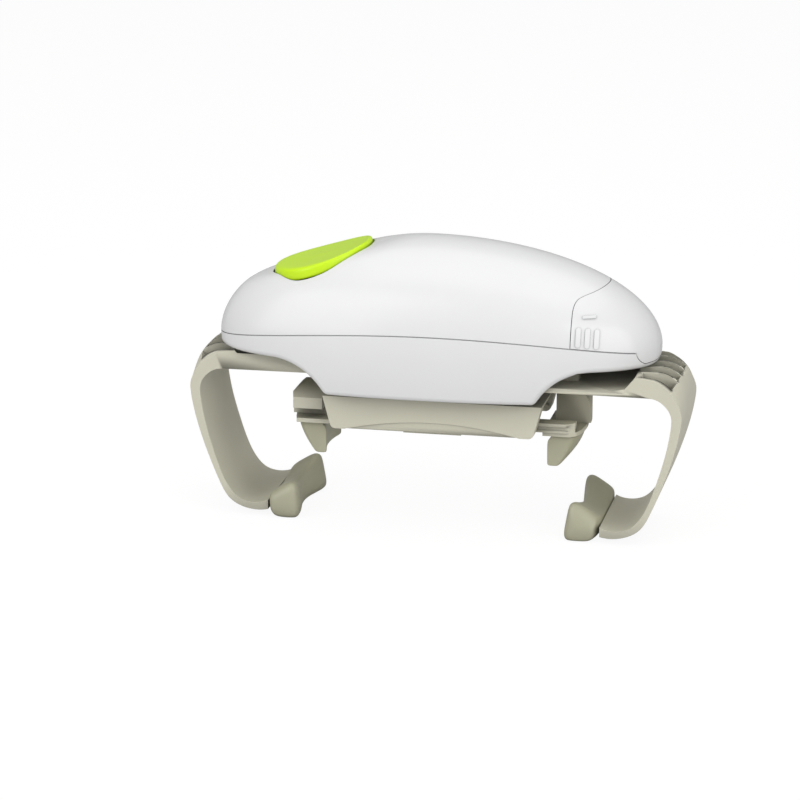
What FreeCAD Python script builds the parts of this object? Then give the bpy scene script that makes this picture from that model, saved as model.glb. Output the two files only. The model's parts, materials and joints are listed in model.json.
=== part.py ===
"""Electric jar opener: a battery-driven head with two sliding arms that hold the jar and a turning
carriage with two sliding jaws that grip and turn the lid.

Frame, in millimetres: +X towards the battery door, +Z up, and +Y away from a user who has the
button at the left. The origin lies on the resting surface, on the axis that the jaw carriage turns about.
"""
import FreeCAD, Part
import os
from math import acos, atan, ceil, copysign, cos, exp, floor, log, pi, radians, sin, sqrt, tan

os.makedirs("parts", exist_ok=True)
V = FreeCAD.Vector
X_AXIS = V(1, 0, 0)
Y_AXIS = V(0, 1, 0)
Z_AXIS = V(0, 0, 1)

# ---------------------------------------------------------------- driving dimensions
# Housing: an egg-shaped shell, longer towards the nose (+X) than towards the tail
body_mid_x = -6.0
tail_length = 91.0
nose_length = 100.5
body_half_width = 37.5
crown_height = 43.9
keel_depth = 48.7
body_level = 80.0
plan_power = 2.5
keel_power = 2.5
shell_wall = 2.0
rim_level = 74.2
belly_level = 59.8
belly_foot = 45.0
belly_slope = 55.0
belly_sweep = 26.0
belly_corner = 3.2
underside_radius = 2.5
seam_end_z = 79.5
seam_mid_z = 88.3
seam_reach = 98.0
groove_width = 0.45
groove_depth = 0.5

# Button and its seat, a flattened area on the crown that slopes down to the tail
seat_slope = 17.0
seat_drop = 5.0
seat_softness = 1.2
button_x = -54.0
button_tail = 19.3
button_nose = 23.0
button_half_width = 22.5
button_gap = 0.4
button_proud = 2.4
button_wall = 2.0
button_skirt_depth = 3.4
button_lug_length = 3.2
button_lug_half_width = 4.0
button_floor = 10.0
button_travel = 1.5
stem_radius = 3.0

# Battery door: the upper half of the nose
door_side_x = 59.9
door_tongue = 12.1
door_tongue_radius = 24.5
door_corner_radius = 9.0
door_flank_angle = 44.0
door_gap = 0.3
door_tab_half_width = 19.3
door_tab_depth = 12.0
door_tab_corner = 6.0
door_tab_floor = 75.8
grip_rib_count = 3
grip_rib_pitch = 3.75
grip_rib_width = 2.0
grip_rib_height = 0.45
grip_rib_length = 8.0
grip_rib_rise = 1.0
grip_rib_start = 2.3
grip_bar_rise = 12.6
grip_bar_start = 4.4
grip_bar_height = 1.1
grip_bar_length = 5.6
door_catch_reach = 4.0
door_catch_low = 6.5
door_catch_height = 4.0
door_catch_thickness = 1.55

# Outer arms: two identical C-shaped bands, turned half a turn to each other
arm_width = 49.0
arm_offset = 5.2
arm_reach = 107.5
arm_travel = 33.0
tray_level = 65.3
tray_floor = 2.0
tray_lip = 2.2
tray_lip_height = 3.2
tray_lip_ramp = 5.5
tray_inner_x = 42.0
shoulder_gap = 0.6
shoulder_slant = 4.3
shoulder_length = 20.0
slot_count = 5
rib_width = 2.2
slot_depth = 4.2
slide_gap = 0.35
rack_thickness = 6.0
rack_height = 4.1
rack_over_tray = 0.6

# Outer pads: soft feet moulded on the arms' lower ends, hollowed to the jar
pad_joint_inset = 34.1
pad_tip_inset = 49.0
pad_top = 15.2
pad_overhang = 0.8
pad_jar_radius = 62.0
pad_valley = 5.0
pad_saddle = 2.6
pad_tongue_level = 4.2
pad_tongue_thickness = 2.2
pad_tongue_margin = 6.0
pad_tongue_reach = 8.4

# Gear teeth
pressure_angle = 25.0
addendum = 0.8
dedendum = 1.05
backlash = 0.22
axle_radius = 1.5
running_fit = 0.05

outer_module = 1.0
outer_teeth = 18
inner_module = 1.0
inner_teeth = 20
main_module = 1.0
main_teeth = 44
main_pinion_teeth = 12
second_module = 0.8
second_teeth = 36
second_pinion_teeth = 12
first_module = 0.6
first_teeth = 40
motor_pinion_teeth = 10
gear_two_angle = 211.0
gear_one_angle = 100.0
motor_angle = 0.0
main_gear_height = 4.0
second_gear_height = 2.5
first_gear_height = 2.0
gear_step = 0.5

# Turret: what the carriage turns in
hub_radius = 16.0
bush_wall = 1.95
bush_lip = 3.0
bush_lip_height = 0.3
retainer_gap = 0.2
retainer_height = 1.7
collar_radius = 7.0
sleeve_radius = 5.0
spindle_radius = 3.0

# Gear frame
base_plate_gap = 0.7
base_plate_height = 2.0
base_plate_half_length = 44.0
base_plate_margin = 4.0
ledge_depth = 3.6
ledge_half_length = 30.0
ledge_width = 7.35
pillar_radius = 2.5
pillar_gap = 1.1

# Carriage: the bar that carries the lid jaws
carriage_gap = 2.3
carriage_height = 14.2
carriage_top_half_length = 47.5
carriage_bottom_half_length = 43.7
carriage_half_width = 26.0
channel_half_width = 18.6
carriage_roof = 2.0
carriage_corner = 2.5
face_arch_height = 4.7
face_arch_half_length = 38.0
face_arch_depth = 1.2
guide_rib = 1.0
guide_rib_rise = 1.3
guide_rib_height = 1.0
guide_rib_fit = 0.3
cover_half_length = 12.5
cover_half_width = 24.0
cover_height = 1.6

# Lid jaws: two identical jaws, turned half a turn to each other
jaw_travel = 32.0
jaw_radius = 63.2
tower_radius = 64.6
tower_inner_x = 49.6
tower_corner = 5.3
tower_corner_height = 7.5
tower_half_width = 17.2
tower_gap = 1.6
tower_slope = 4.6
jaw_passing_gap = 0.4
flange_level = 42.6
flange_height = 1.8
flange_inner_x = 46.5
flange_half_width = 17.2
jaw_rack_height = 4.0
jaw_rack_outer_y = 18.2
jaw_rack_outer_x = 60.3
jaw_pad_inner_x = 50.0
jaw_pad_depth = 14.0
jaw_pad_half_width = 15.0
jaw_pad_radius = 62.2
jaw_pad_foot = 4.6
jaw_pad_flare = 2.6
finger_x = 53.5
finger_thickness = 2.4
finger_half_width = 10.0
finger_depth = 9.0

# Motor, batteries and switch gear
motor_radius = 12.0
motor_length = 27.0
motor_shaft_radius = 1.0
motor_boss_radius = 4.0
motor_wall = 1.2
motor_cap_depth = 3.0
magnet_thickness = 2.4
magnet_slot = 4.0
magnet_gap = 1.6
commutator_length = 3.5
cell_radius = 7.25
cell_length = 49.5
cell_nub = 1.0
cell_pitch = 15.2
cell_x = 30.0
cell_z = 88.5
contact_gap = 3.1
contact_thickness = 0.4
cradle_wall = 1.5
bracket_z = 99.5
bracket_height = 1.5
board_thickness = 1.6
switch_length = 12.8
switch_width = 5.8
switch_height = 6.5
plunger_height = 1.0
cell_spring_radius = 3.0
cell_spring_wire = 0.3
cell_spring_turns = 2.5
spring_wire = 0.4
spring_radius = 8.6
spring_turns = 4.0
switch_x = -52.0
switch_plate_half_width = 12.0

# Friction clutch on the spindle
clutch_radius = 8.0
clutch_height = 1.0
clutch_spring_height = 0.8
clutch_spring_wall = 0.35
clip_height = 0.6
clip_groove = 0.6
clip_width = 2.6

# Screws
screw_radius = 1.2
screw_head_radius = 2.3
screw_head_height = 1.0
screw_head_gap = 0.3
shell_screw_length = 12.0
shell_screw_sink = 7.0
shell_screw_margin = 11.0
shell_boss_radius = 3.6
shell_boss_gap = 0.6
base_screw_length = 5.0
base_screw_margin = 5.6
bracket_screw_length = 6.0
bracket_screw_margin = 13.5
retainer_screw_length = 6.5
retainer_screw_ring = 11.5
cover_screw_length = 7.0
motor_screw_length = 3.6


# ---------------------------------------------------------------- plain shapes
def box(x0, x1, y0, y1, z0, z1):
    """Block between two corners, in any order."""
    low = V(min(x0, x1), min(y0, y1), min(z0, z1))
    return Part.makeBox(abs(x1 - x0), abs(y1 - y0), abs(z1 - z0), low)


def rod(x, y, z0, z1, radius):
    """Upright cylinder."""
    return Part.makeCylinder(radius, z1 - z0, V(x, y, z0), Z_AXIS)


def ring(x, y, z0, z1, inner, outer):
    """Upright tube."""
    return rod(x, y, z0, z1, outer).cut(rod(x, y, z0, z1, inner))


def rod_x(x0, x1, y, z, radius):
    """Cylinder along X."""
    return Part.makeCylinder(radius, x1 - x0, V(x0, y, z), X_AXIS)


def half_turned(shape):
    """Copy turned half a turn about the carriage axis."""
    turned = shape.copy()
    turned.rotate(V(0, 0, 0), Z_AXIS, 180)
    return turned


def joined(pieces):
    """One shape from several that touch or overlap."""
    return pieces[0].multiFuse(pieces[1:]).removeSplitter()


def welded(pieces):
    """One shape from several curved ones, joined one by one."""
    shape = pieces[0]
    for piece in pieces[1:]:
        shape = shape.fuse(piece)
    return shape


def side_prism(edges, y0, y1):
    """Outline in the XZ plane, drawn out along Y."""
    face = Part.Face(Part.Wire(edges))
    face.translate(V(0, y0, 0))
    return face.extrude(V(0, y1 - y0, 0))


def polygon_edges(points):
    """Closed run of straight edges through XZ points."""
    corners = [V(x, 0, z) for x, z in points]
    return [Part.makeLine(a, b) for a, b in zip(corners, corners[1:] + corners[:1])]


def smooth_edge(points, start=None, end=None):
    """Smooth curve through points, with its end directions when they are given."""
    curve = Part.BSplineCurve()
    if start is None:
        curve.interpolate(Points=points)
    else:
        curve.interpolate(Points=points, InitialTangent=start, FinalTangent=end)
    return curve.toShape()


def level_arc(start, end):
    """Arc that leaves its start level and rises or falls to its end."""
    across = end.x - start.x
    rise = end.z - start.z
    radius = (across ** 2 + rise ** 2) / (2 * rise)
    half = atan(rise / abs(across))
    middle_x = start.x + abs(radius) * abs(sin(half)) * copysign(1, across)
    middle = V(middle_x, 0, start.z + radius * (1 - cos(half)))
    return Part.Arc(start, middle, end).toShape()


def screw(x, y, seat_z, length, upward=True):
    """Cross-head screw whose head rests against seat_z, with its shank going up or down."""
    shank = rod(0, 0, 0, length, screw_radius)
    head = rod(0, 0, -screw_head_height, 0, screw_head_radius)
    arm = screw_head_radius * 0.6
    slot = screw_radius * 0.3
    depth = screw_head_height * 0.6
    cross = box(-arm, arm, -slot, slot, -screw_head_height, depth - screw_head_height)
    cross = cross.fuse(box(-slot, slot, -arm, arm, -screw_head_height, depth - screw_head_height))
    shape = joined([shank, head]).cut(cross)
    if not upward:
        shape.rotate(V(0, 0, 0), X_AXIS, 180)
    shape.translate(V(x, y, seat_z))
    return shape


def coil(center, radius, wire, height, turns):
    """Upright round-wire spring whose solid just fills the given height."""
    path = Part.makeHelix((height - 2 * wire) / turns, height - 2 * wire, radius)
    section = Part.Wire(Part.makeCircle(wire, V(radius, 0, 0), Y_AXIS))
    shape = Part.Wire(path.Edges).makePipeShell([section], True, True)
    shape.translate(V(center.x, center.y, center.z + wire))
    return shape


# ---------------------------------------------------------------- gear teeth
def involute(angle):
    """Involute function of an angle in radians."""
    return tan(angle) - angle


def tooth_half_angle(radius, pitch_radius, module):
    """Half the angle that a tooth fills at a radius."""
    alpha = radians(pressure_angle)
    base_radius = pitch_radius * cos(alpha)
    half_pitch_tooth = (pi * module / 2 - backlash / 2) / 2 / pitch_radius
    here = acos(min(1.0, base_radius / radius))
    return half_pitch_tooth + involute(alpha) - involute(here)


def gear(teeth, module, x, y, z0, height, phase):
    """Spur gear with a tooth centred on the phase angle, in degrees."""
    pitch_radius = teeth * module / 2
    base_radius = pitch_radius * cos(radians(pressure_angle))
    root = pitch_radius - dedendum * module
    tip = pitch_radius + addendum * module
    start = max(base_radius, root)
    flank = [start + (tip - start) * step / 3 for step in range(4)]
    if root < start:
        flank = [root] + flank
    points = []
    for tooth in range(teeth):
        middle = radians(phase) + tooth * 2 * pi / teeth
        halves = [tooth_half_angle(max(radius, base_radius), pitch_radius, module) for radius in flank]
        rising = [(radius, middle - half) for radius, half in zip(flank, halves)]
        falling = [(radius, middle + half) for radius, half in zip(reversed(flank), reversed(halves))]
        points += rising + falling
    corners = [V(x + radius * cos(angle), y + radius * sin(angle), z0) for radius, angle in points]
    return Part.Face(Part.makePolygon(corners + corners[:1])).extrude(V(0, 0, height))


def tooth_share(direction, phase, teeth):
    """How far the line of centres lies past a tooth, in tooth pitches."""
    share = (direction - phase) / (360.0 / teeth)
    return share - floor(share)


def meshing_phase(direction, phase, teeth, mate_teeth):
    """Phase of a mating gear that lies in the given direction from a gear."""
    share = 0.5 - tooth_share(direction, phase, teeth)
    return direction + 180 - share * 360.0 / mate_teeth


def rack_teeth(module, x0, x1, side, pitch_radius, gap_x, z0, height):
    """Rack teeth that point at the gear on the carriage axis, from a back at the tooth roots."""
    pitch = pi * module
    slope = tan(radians(pressure_angle))
    half_tooth = (pitch / 2 - backlash / 2) / 2
    tip_half = half_tooth - addendum * module * slope
    root_half = half_tooth + dedendum * module * slope
    tip_y = side * (pitch_radius - addendum * module)
    root_y = side * (pitch_radius + dedendum * module)
    first = ceil((x0 + root_half - gap_x) / pitch - 0.5)
    last = floor((x1 - root_half - gap_x) / pitch - 0.5)
    outline = [V(x0, root_y, z0)]
    for tooth in range(first, last + 1):
        middle = gap_x + (tooth + 0.5) * pitch
        outline.append(V(middle - root_half, root_y, z0))
        outline.append(V(middle - tip_half, tip_y, z0))
        outline.append(V(middle + tip_half, tip_y, z0))
        outline.append(V(middle + root_half, root_y, z0))
    outline.append(V(x1, root_y, z0))
    back_y = root_y + side * 0.5
    outline += [V(x1, back_y, z0), V(x0, back_y, z0), outline[0]]
    return Part.Face(Part.makePolygon(outline)).extrude(V(0, 0, height))


# ---------------------------------------------------------------- housing form
def seat_height(x, inset):
    """Height of the sloping seat plane for the button, drawn in by inset."""
    seat_span = abs(button_x - body_mid_x) / tail_length
    crown_here = body_level + crown_height * sqrt(1 - seat_span ** 2)
    slope = radians(seat_slope)
    return crown_here - seat_drop + (x - button_x) * tan(slope) - inset / cos(slope)


def soft_min(a, b, softness):
    """The smaller of two heights, with a rounded change between them."""
    low = min(a, b)
    return low - softness * log(exp((low - a) / softness) + exp((low - b) / softness))


def body_section(x, inset):
    """Points round the housing form's cross-section at x, from the keel and back to it."""
    reach = (tail_length if x < body_mid_x else nose_length) - inset
    share = abs(x - body_mid_x) / reach
    width = (body_half_width - inset) * (1 - share ** plan_power) ** (1 / plan_power)
    rise = (crown_height - inset) * sqrt(1 - share ** 2)
    drop = (keel_depth - inset) * sqrt(1 - share ** 2)
    points = []
    for step in range(37):
        turn = pi * (step / 18 - 0.5)
        if sin(turn) < 0:
            across = copysign(abs(cos(turn)) ** (2 / keel_power), cos(turn))
            height = body_level - drop * abs(sin(turn)) ** (2 / keel_power)
        else:
            across = cos(turn)
            round_height = body_level + rise * sin(turn)
            seat_limit = max(seat_height(x, inset), body_level + 0.3 * rise * sin(turn))
            height = soft_min(round_height, seat_limit, seat_softness * sin(turn) + 0.01)
        points.append(V(x, width * across, height))
    points[-1] = points[0]
    return points


def body_form(inset):
    """The whole egg-shaped form of the housing, drawn in by inset, as one smooth face with tiny end caps."""
    tail = tail_length - inset
    nose = nose_length - inset
    turns = [radians(step) for step in (3, 8, 14, 21, 28, 35, 42, 49, 56, 63, 70, 77, 84)]
    stations = [body_mid_x - tail * cos(turn) for turn in turns] + [body_mid_x]
    stations += [body_mid_x + nose * cos(turn) for turn in reversed(turns)]
    surface = Part.BSplineSurface()
    surface.interpolate([body_section(x, inset) for x in stations])
    side = surface.toShape()
    rims = [edge for edge in side.Edges if edge.BoundBox.XMax - edge.BoundBox.XMin < 0.01]
    caps = [Part.Face(Part.Wire([edge])) for edge in rims]
    shell = Part.makeShell([side] + caps)
    shell.sewShape()
    return Part.makeSolid(shell)


def sweep_head():
    """Distance from the axis at which the underside's S-curves reach the level ends."""
    slope = radians(belly_slope)
    return belly_foot + (rim_level - belly_level) / tan(slope) + belly_sweep * tan(slope / 2)


def underside_form(inset):
    """Everything above the housing's underside: level ends, a hanging belly and S-curves between."""
    slope = radians(belly_slope)
    low = belly_level + inset
    high = rim_level + inset
    corner = max(belly_corner - inset, belly_corner / 10)
    corner_x = belly_foot - belly_corner * tan(slope / 2)
    corner_z = belly_level + belly_corner
    sweep = belly_sweep + inset
    head = sweep_head()
    far = tail_length + nose_length
    top = body_level + crown_height + keel_depth
    edges = []
    for side in (1, -1):
        foot = V(side * corner_x, 0, corner_z - corner)
        bend = V(side * (corner_x + corner * sin(slope / 2)), 0, corner_z - corner * cos(slope / 2))
        rise = V(side * (corner_x + corner * sin(slope)), 0, corner_z - corner * cos(slope))
        join = V(side * (head - sweep * sin(slope)), 0, high - sweep * (1 - cos(slope)))
        bow = V(side * (head - sweep * sin(slope / 2)), 0, high - sweep * (1 - cos(slope / 2)))
        finish = V(side * head, 0, high)
        edges.append(Part.Arc(foot, bend, rise).toShape())
        edges.append(Part.makeLine(rise, join))
        edges.append(Part.Arc(join, bow, finish).toShape())
        edges.append(Part.makeLine(finish, V(side * far, 0, high)))
        edges.append(Part.makeLine(V(side * far, 0, high), V(side * far, 0, top)))
    edges.append(Part.makeLine(V(far, 0, top), V(-far, 0, top)))
    edges.append(Part.makeLine(V(-corner_x, 0, corner_z - corner), V(corner_x, 0, corner_z - corner)))
    return side_prism(Part.__sortEdges__(edges), -far, far)


def seam_height(x):
    """Height of the arched parting line between the two shells."""
    rise = seam_mid_z - seam_end_z
    radius = (seam_reach ** 2 + rise ** 2) / (2 * rise)
    return seam_mid_z - radius + sqrt(radius ** 2 - x ** 2)


def seam_band(below, above):
    """Layer that follows the parting line, from below it to above it."""
    far = seam_reach * 1.3
    edges = []
    for shift in (-below, above):
        low_end = V(-far, 0, seam_height(-far) + shift)
        middle = V(0, 0, seam_height(0) + shift)
        edges.append(Part.Arc(low_end, middle, V(far, 0, seam_height(far) + shift)).toShape())
    for side in (-far, far):
        level = seam_height(side)
        edges.append(Part.makeLine(V(side, 0, level - below), V(side, 0, level + above)))
    return side_prism(Part.__sortEdges__(edges), -far, far)


def door_edge():
    """Corner points of the battery door's edge: end of its straight side, and both ends of its flank."""
    turn = radians(door_flank_angle)
    tip_x = door_side_x + door_tongue - door_tongue_radius * (1 - cos(turn))
    tip_y = door_tongue_radius * sin(turn)
    bend_x = door_side_x + door_corner_radius * (1 - cos(turn))
    bend_y = tip_y + (tip_x - bend_x) / tan(turn)
    return bend_y + door_corner_radius * sin(turn), (bend_x, bend_y), (tip_x, tip_y)


def door_column(shift):
    """Everything on the nose side of the battery door's edge, whose middle is a rounded tongue's hollow."""
    half_turn = radians(door_flank_angle / 2)
    straight_y, (bend_x, bend_y), (tip_x, tip_y) = door_edge()
    side_x = door_side_x + shift
    apex = V(door_side_x + door_tongue + shift, 0, 0)
    far_x = nose_length + tail_length
    far_y = body_half_width * 2
    mid_x = side_x + door_corner_radius * (1 - cos(half_turn))
    mid_y = straight_y - door_corner_radius * sin(half_turn)
    edges = []
    for side in (-1, 1):
        straight = V(side_x, side * straight_y, 0)
        bend = V(bend_x + shift, side * bend_y, 0)
        edges.append(Part.makeLine(V(side_x, side * far_y, 0), straight))
        edges.append(Part.Arc(straight, V(mid_x, side * mid_y, 0), bend).toShape())
        edges.append(Part.makeLine(bend, V(tip_x + shift, side * tip_y, 0)))
        edges.append(Part.makeLine(V(side_x, side * far_y, 0), V(far_x, side * far_y, 0)))
    edges.append(Part.Arc(V(tip_x + shift, -tip_y, 0), apex, V(tip_x + shift, tip_y, 0)).toShape())
    edges.append(Part.makeLine(V(far_x, -far_y, 0), V(far_x, far_y, 0)))
    outline = Part.Wire(Part.__sortEdges__(edges))
    return Part.Face(outline).extrude(V(0, 0, body_level + crown_height * 2))


def door_tab(grow):
    """U-shaped thumb tab of the door, which dips below the parting line at the nose."""
    tab_x = nose_length + body_mid_x - door_tab_depth
    half = door_tab_half_width + grow
    tab = box(tab_x - grow, nose_length + tail_length, -half, half, door_tab_floor - grow, body_level * 2)
    rims = [edge for edge in tab.Edges if abs(edge.tangentAt(edge.FirstParameter).x) > 0.9
            and edge.CenterOfMass.z < door_tab_floor + 1]
    return tab.makeFillet(door_tab_corner + grow, rims)


def button_column(grow):
    """Upright column with the button's egg-shaped outline, grown outwards."""
    half = button_half_width + grow
    left = V(button_x - button_tail - grow, 0, 0)
    right = V(button_x + button_nose + grow, 0, 0)
    front = V(button_x, -half, 0)
    back = V(button_x, half, 0)
    tail_reach = button_tail + grow
    nose_reach = button_nose + grow
    edges = []
    for reach, tip, side in ((tail_reach, left, -1), (nose_reach, right, 1)):
        for end, across in ((front, -1), (back, 1)):
            through = [end]
            for step in (1, 2):
                turn = radians(30 * step)
                through.append(V(button_x + side * reach * sin(turn), across * half * cos(turn), 0))
            through.append(tip)
            edges.append(smooth_edge(through, V(side, 0, 0), V(0, -across, 0)))
    outline = Part.Wire(Part.__sortEdges__(edges))
    return Part.Face(outline).extrude(V(0, 0, body_level + crown_height * 2))


# ---------------------------------------------------------------- levels and places that follow
carriage_top = belly_level - carriage_gap
carriage_bottom = carriage_top - carriage_height
belly_floor = belly_level + shell_wall
end_floor = rim_level + shell_wall
shoulder_top = rim_level - shoulder_gap
tray_top = tray_level + tray_floor
rack_low = tray_top + rack_over_tray
rack_high = rack_low + rack_height
base_low = rack_high + base_plate_gap
base_high = base_low + base_plate_height
main_low = base_high + gear_step
main_high = main_low + main_gear_height
second_low = main_high + gear_step
second_high = second_low + second_gear_height
first_low = second_high + gear_step
first_high = first_low + first_gear_height
top_low = first_high + gear_step
top_high = top_low + base_plate_height

outer_pitch = outer_teeth * outer_module / 2
inner_pitch = inner_teeth * inner_module / 2
main_tip = (main_teeth / 2 + addendum) * main_module


def beyond(x, y, angle, distance):
    """Place at a distance from another, in a direction in degrees."""
    return x + distance * cos(radians(angle)), y + distance * sin(radians(angle))


gear_two_x, gear_two_y = beyond(0, 0, gear_two_angle, (main_teeth + main_pinion_teeth) * main_module / 2)
gear_one_x, gear_one_y = beyond(gear_two_x, gear_two_y, gear_one_angle,
                                (second_teeth + second_pinion_teeth) * second_module / 2)
motor_x, motor_y = beyond(gear_one_x, gear_one_y, motor_angle,
                          (first_teeth + motor_pinion_teeth) * first_module / 2)

arm_low_y = -arm_offset - arm_width / 2
arm_high_y = -arm_offset + arm_width / 2
bush_radius = hub_radius + running_fit + bush_wall
retainer_radius = bush_radius + bush_lip
hub_top = belly_floor + bush_lip_height + retainer_gap
retainer_top = hub_top + retainer_height
sleeve_top = main_low - 0.3
jaw_rack_low = flange_level + flange_height
jaw_rack_high = jaw_rack_low + jaw_rack_height
jaw_root_y = inner_pitch + dedendum * inner_module
cover_high = flange_level + cover_height
cover_screw_seat = flange_level + screw_head_height
tower_top = belly_level - tower_gap

shell_screw_x = door_side_x - door_catch_reach - shell_boss_radius - shell_boss_gap
shell_screw_y = body_half_width - shell_screw_margin
shell_screw_spots = [(11.0 - tail_length, 0.0), (shell_screw_x, shell_screw_y), (button_x, -shell_screw_y)]
base_plate_half_width = body_half_width - base_plate_margin
base_screw_y = body_half_width - base_screw_margin
base_screw_spots = [(side_x * 26.0, side_y * base_screw_y) for side_x in (-1, 1) for side_y in (-1, 1)]
cover_screw_y = (channel_half_width + cover_half_width) / 2
cover_screw_spots = [(side_x * 8.0, side_y * cover_screw_y) for side_x in (-1, 1) for side_y in (-1, 1)]
bracket_screw_x = switch_x + 8.0
bracket_screw_y = body_half_width - bracket_screw_margin
bracket_screw_spots = [(bracket_screw_x, -bracket_screw_y), (bracket_screw_x, bracket_screw_y)]
pillar_ring = main_tip + pillar_radius + pillar_gap
pillar_spots = [beyond(0, 0, angle, pillar_ring) for angle in (48, 303, 112)]
pillar_spots.append(beyond(0, 0, 188, pillar_ring + 15.0))
clutch_low = main_high + 0.2
clip_low = clutch_low + clutch_height + clutch_spring_height


# ---------------------------------------------------------------- shells, door and button
def softened(shape):
    """The housing with its underside edges rounded."""
    edges = []
    for edge in shape.Edges:
        bounds = edge.BoundBox
        outline = bounds.YMax - bounds.YMin < body_half_width * 1.2
        if outline and edge.Length > 5 and bounds.ZMax < rim_level + 0.1:
            edges.append(edge)
    return shape.makeFillet(underside_radius, edges)


outer_form = body_form(0)
inner_form = body_form(shell_wall)
half_wall_form = body_form(shell_wall / 2)
tongue_form = body_form(shell_wall + slide_gap)
tongue_back = body_form(shell_wall + slide_gap + door_catch_thickness)
hull = softened(outer_form.common(underside_form(0)))
hollow = inner_form.common(underside_form(shell_wall))
skin = hull.cut(hollow)
far = tail_length + nose_length
above_seam = seam_band(0, far)
below_seam = seam_band(far, 0)
seam_groove = seam_band(groove_width / 2, groove_width / 2).cut(body_form(groove_depth))
upper_room = box(-far, far, -far, far, body_level + button_floor, far)


def boss(x, y, z0, z1, radius):
    """Round post for a screw, trimmed where it meets the wall."""
    return rod(x, y, z0, z1, radius).common(half_wall_form)


def shell_screw_seat(x):
    """Level of a shell screw's head, beneath the parting line."""
    return seam_height(x) - shell_screw_sink


def arm_passage():
    """Room for both arms' trays and shoulders to slide in beneath the ends of the shell."""
    reach = tail_length + nose_length
    low = tray_level - slide_gap
    right = box(tray_inner_x - 2, reach, arm_low_y - slide_gap, arm_high_y + slide_gap, low, rim_level + 0.1)
    return joined([right, half_turned(right)])


def lower_shell():
    """Lower half of the housing, with rails for the arms, ledges for the gear frame and screw posts."""
    pieces = [skin.common(below_seam)]
    for side in (-1, 1):
        ledge = box(-ledge_half_length, ledge_half_length, side * (body_half_width - ledge_width),
                    side * body_half_width, base_low - ledge_depth, base_low)
        pieces.append(ledge.common(half_wall_form))
    inner_x = retainer_radius + 1.8
    for rail_y in (arm_low_y + 4.0, arm_high_y - 4.0):
        rail = box(inner_x, tray_inner_x + 1.5, rail_y - 1.5, rail_y + 1.5,
                   belly_floor - 1, tray_level - slide_gap)
        pieces += [rail, half_turned(rail)]
    posts = underside_form(shell_wall / 2)
    for x, y in shell_screw_spots:
        post = boss(x, y, belly_level, body_level + crown_height, shell_boss_radius)
        pieces.append(post.common(below_seam).common(posts))
    shape = welded(pieces)
    for x, y in shell_screw_spots:
        seat = shell_screw_seat(x)
        shape = shape.cut(rod(x, y, 0, seat, screw_head_radius + screw_head_gap))
        shape = shape.cut(rod(x, y, seat, seat + shell_screw_length, screw_radius))
    for x, y in base_screw_spots:
        shape = shape.cut(rod(x, y, base_low - ledge_depth, base_high, screw_radius))
    shape = shape.cut(rod(0, 0, belly_level, belly_floor, bush_radius))
    shape = shape.cut(arm_passage())
    tab_zone = door_tab(0).common(underside_form(shell_wall))
    return shape.cut(tab_zone).cut(seam_groove)


def upper_shell():
    """Upper half of the housing behind the door's edge, with the button's opening and screw posts."""
    pieces = [skin.common(above_seam).cut(door_column(0))]
    for x, y in shell_screw_spots:
        post = boss(x, y, body_level, body_level + crown_height, shell_boss_radius - 0.4)
        pieces.append(post.common(above_seam))
    for x, y in bracket_screw_spots:
        low = bracket_z + bracket_height
        pieces.append(boss(x, y, low, body_level + crown_height, shell_boss_radius - 0.6))
    shape = welded(pieces)
    for x, y in shell_screw_spots:
        seat = shell_screw_seat(x)
        shape = shape.cut(rod(x, y, seat, seat + shell_screw_length, screw_radius))
    for x, y in bracket_screw_spots:
        shape = shape.cut(rod(x, y, bracket_z, bracket_z + bracket_screw_length, screw_radius))
    shape = shape.cut(button_column(button_gap).common(upper_room))
    return shape.cut(seam_groove)


def door_zone(shrink):
    """Room of the battery door: above the seam on its side of the edge, and its thumb tab."""
    upper = seam_band(-shrink, far).common(door_column(shrink))
    tab = door_tab(-shrink).common(underside_form(shell_wall + shrink)).common(seam_band(far, 2.0))
    return joined([upper, tab])


def grip_bar(x, width, low, length, side):
    """Raised bar with rounded ends on the door's flank, upright or lying along the longer of its sizes."""
    half = min(width, length) / 2
    inner_y = side * 12.0
    run = side * body_half_width - inner_y
    pieces = []
    if length > width:
        pieces.append(box(x, x + width, inner_y, inner_y + run, low + half, low + length - half))
        spots = [(x + half, low + half), (x + half, low + length - half)]
    else:
        pieces.append(box(x + half, x + width - half, inner_y, inner_y + run, low, low + length))
        spots = [(x + half, low + half), (x + width - half, low + half)]
    for spot_x, spot_z in spots:
        pieces.append(Part.makeCylinder(half, abs(run), V(spot_x, min(inner_y, inner_y + run), spot_z), Y_AXIS))
    return joined(pieces).common(body_form(-grip_rib_height)).cut(half_wall_form)


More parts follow.
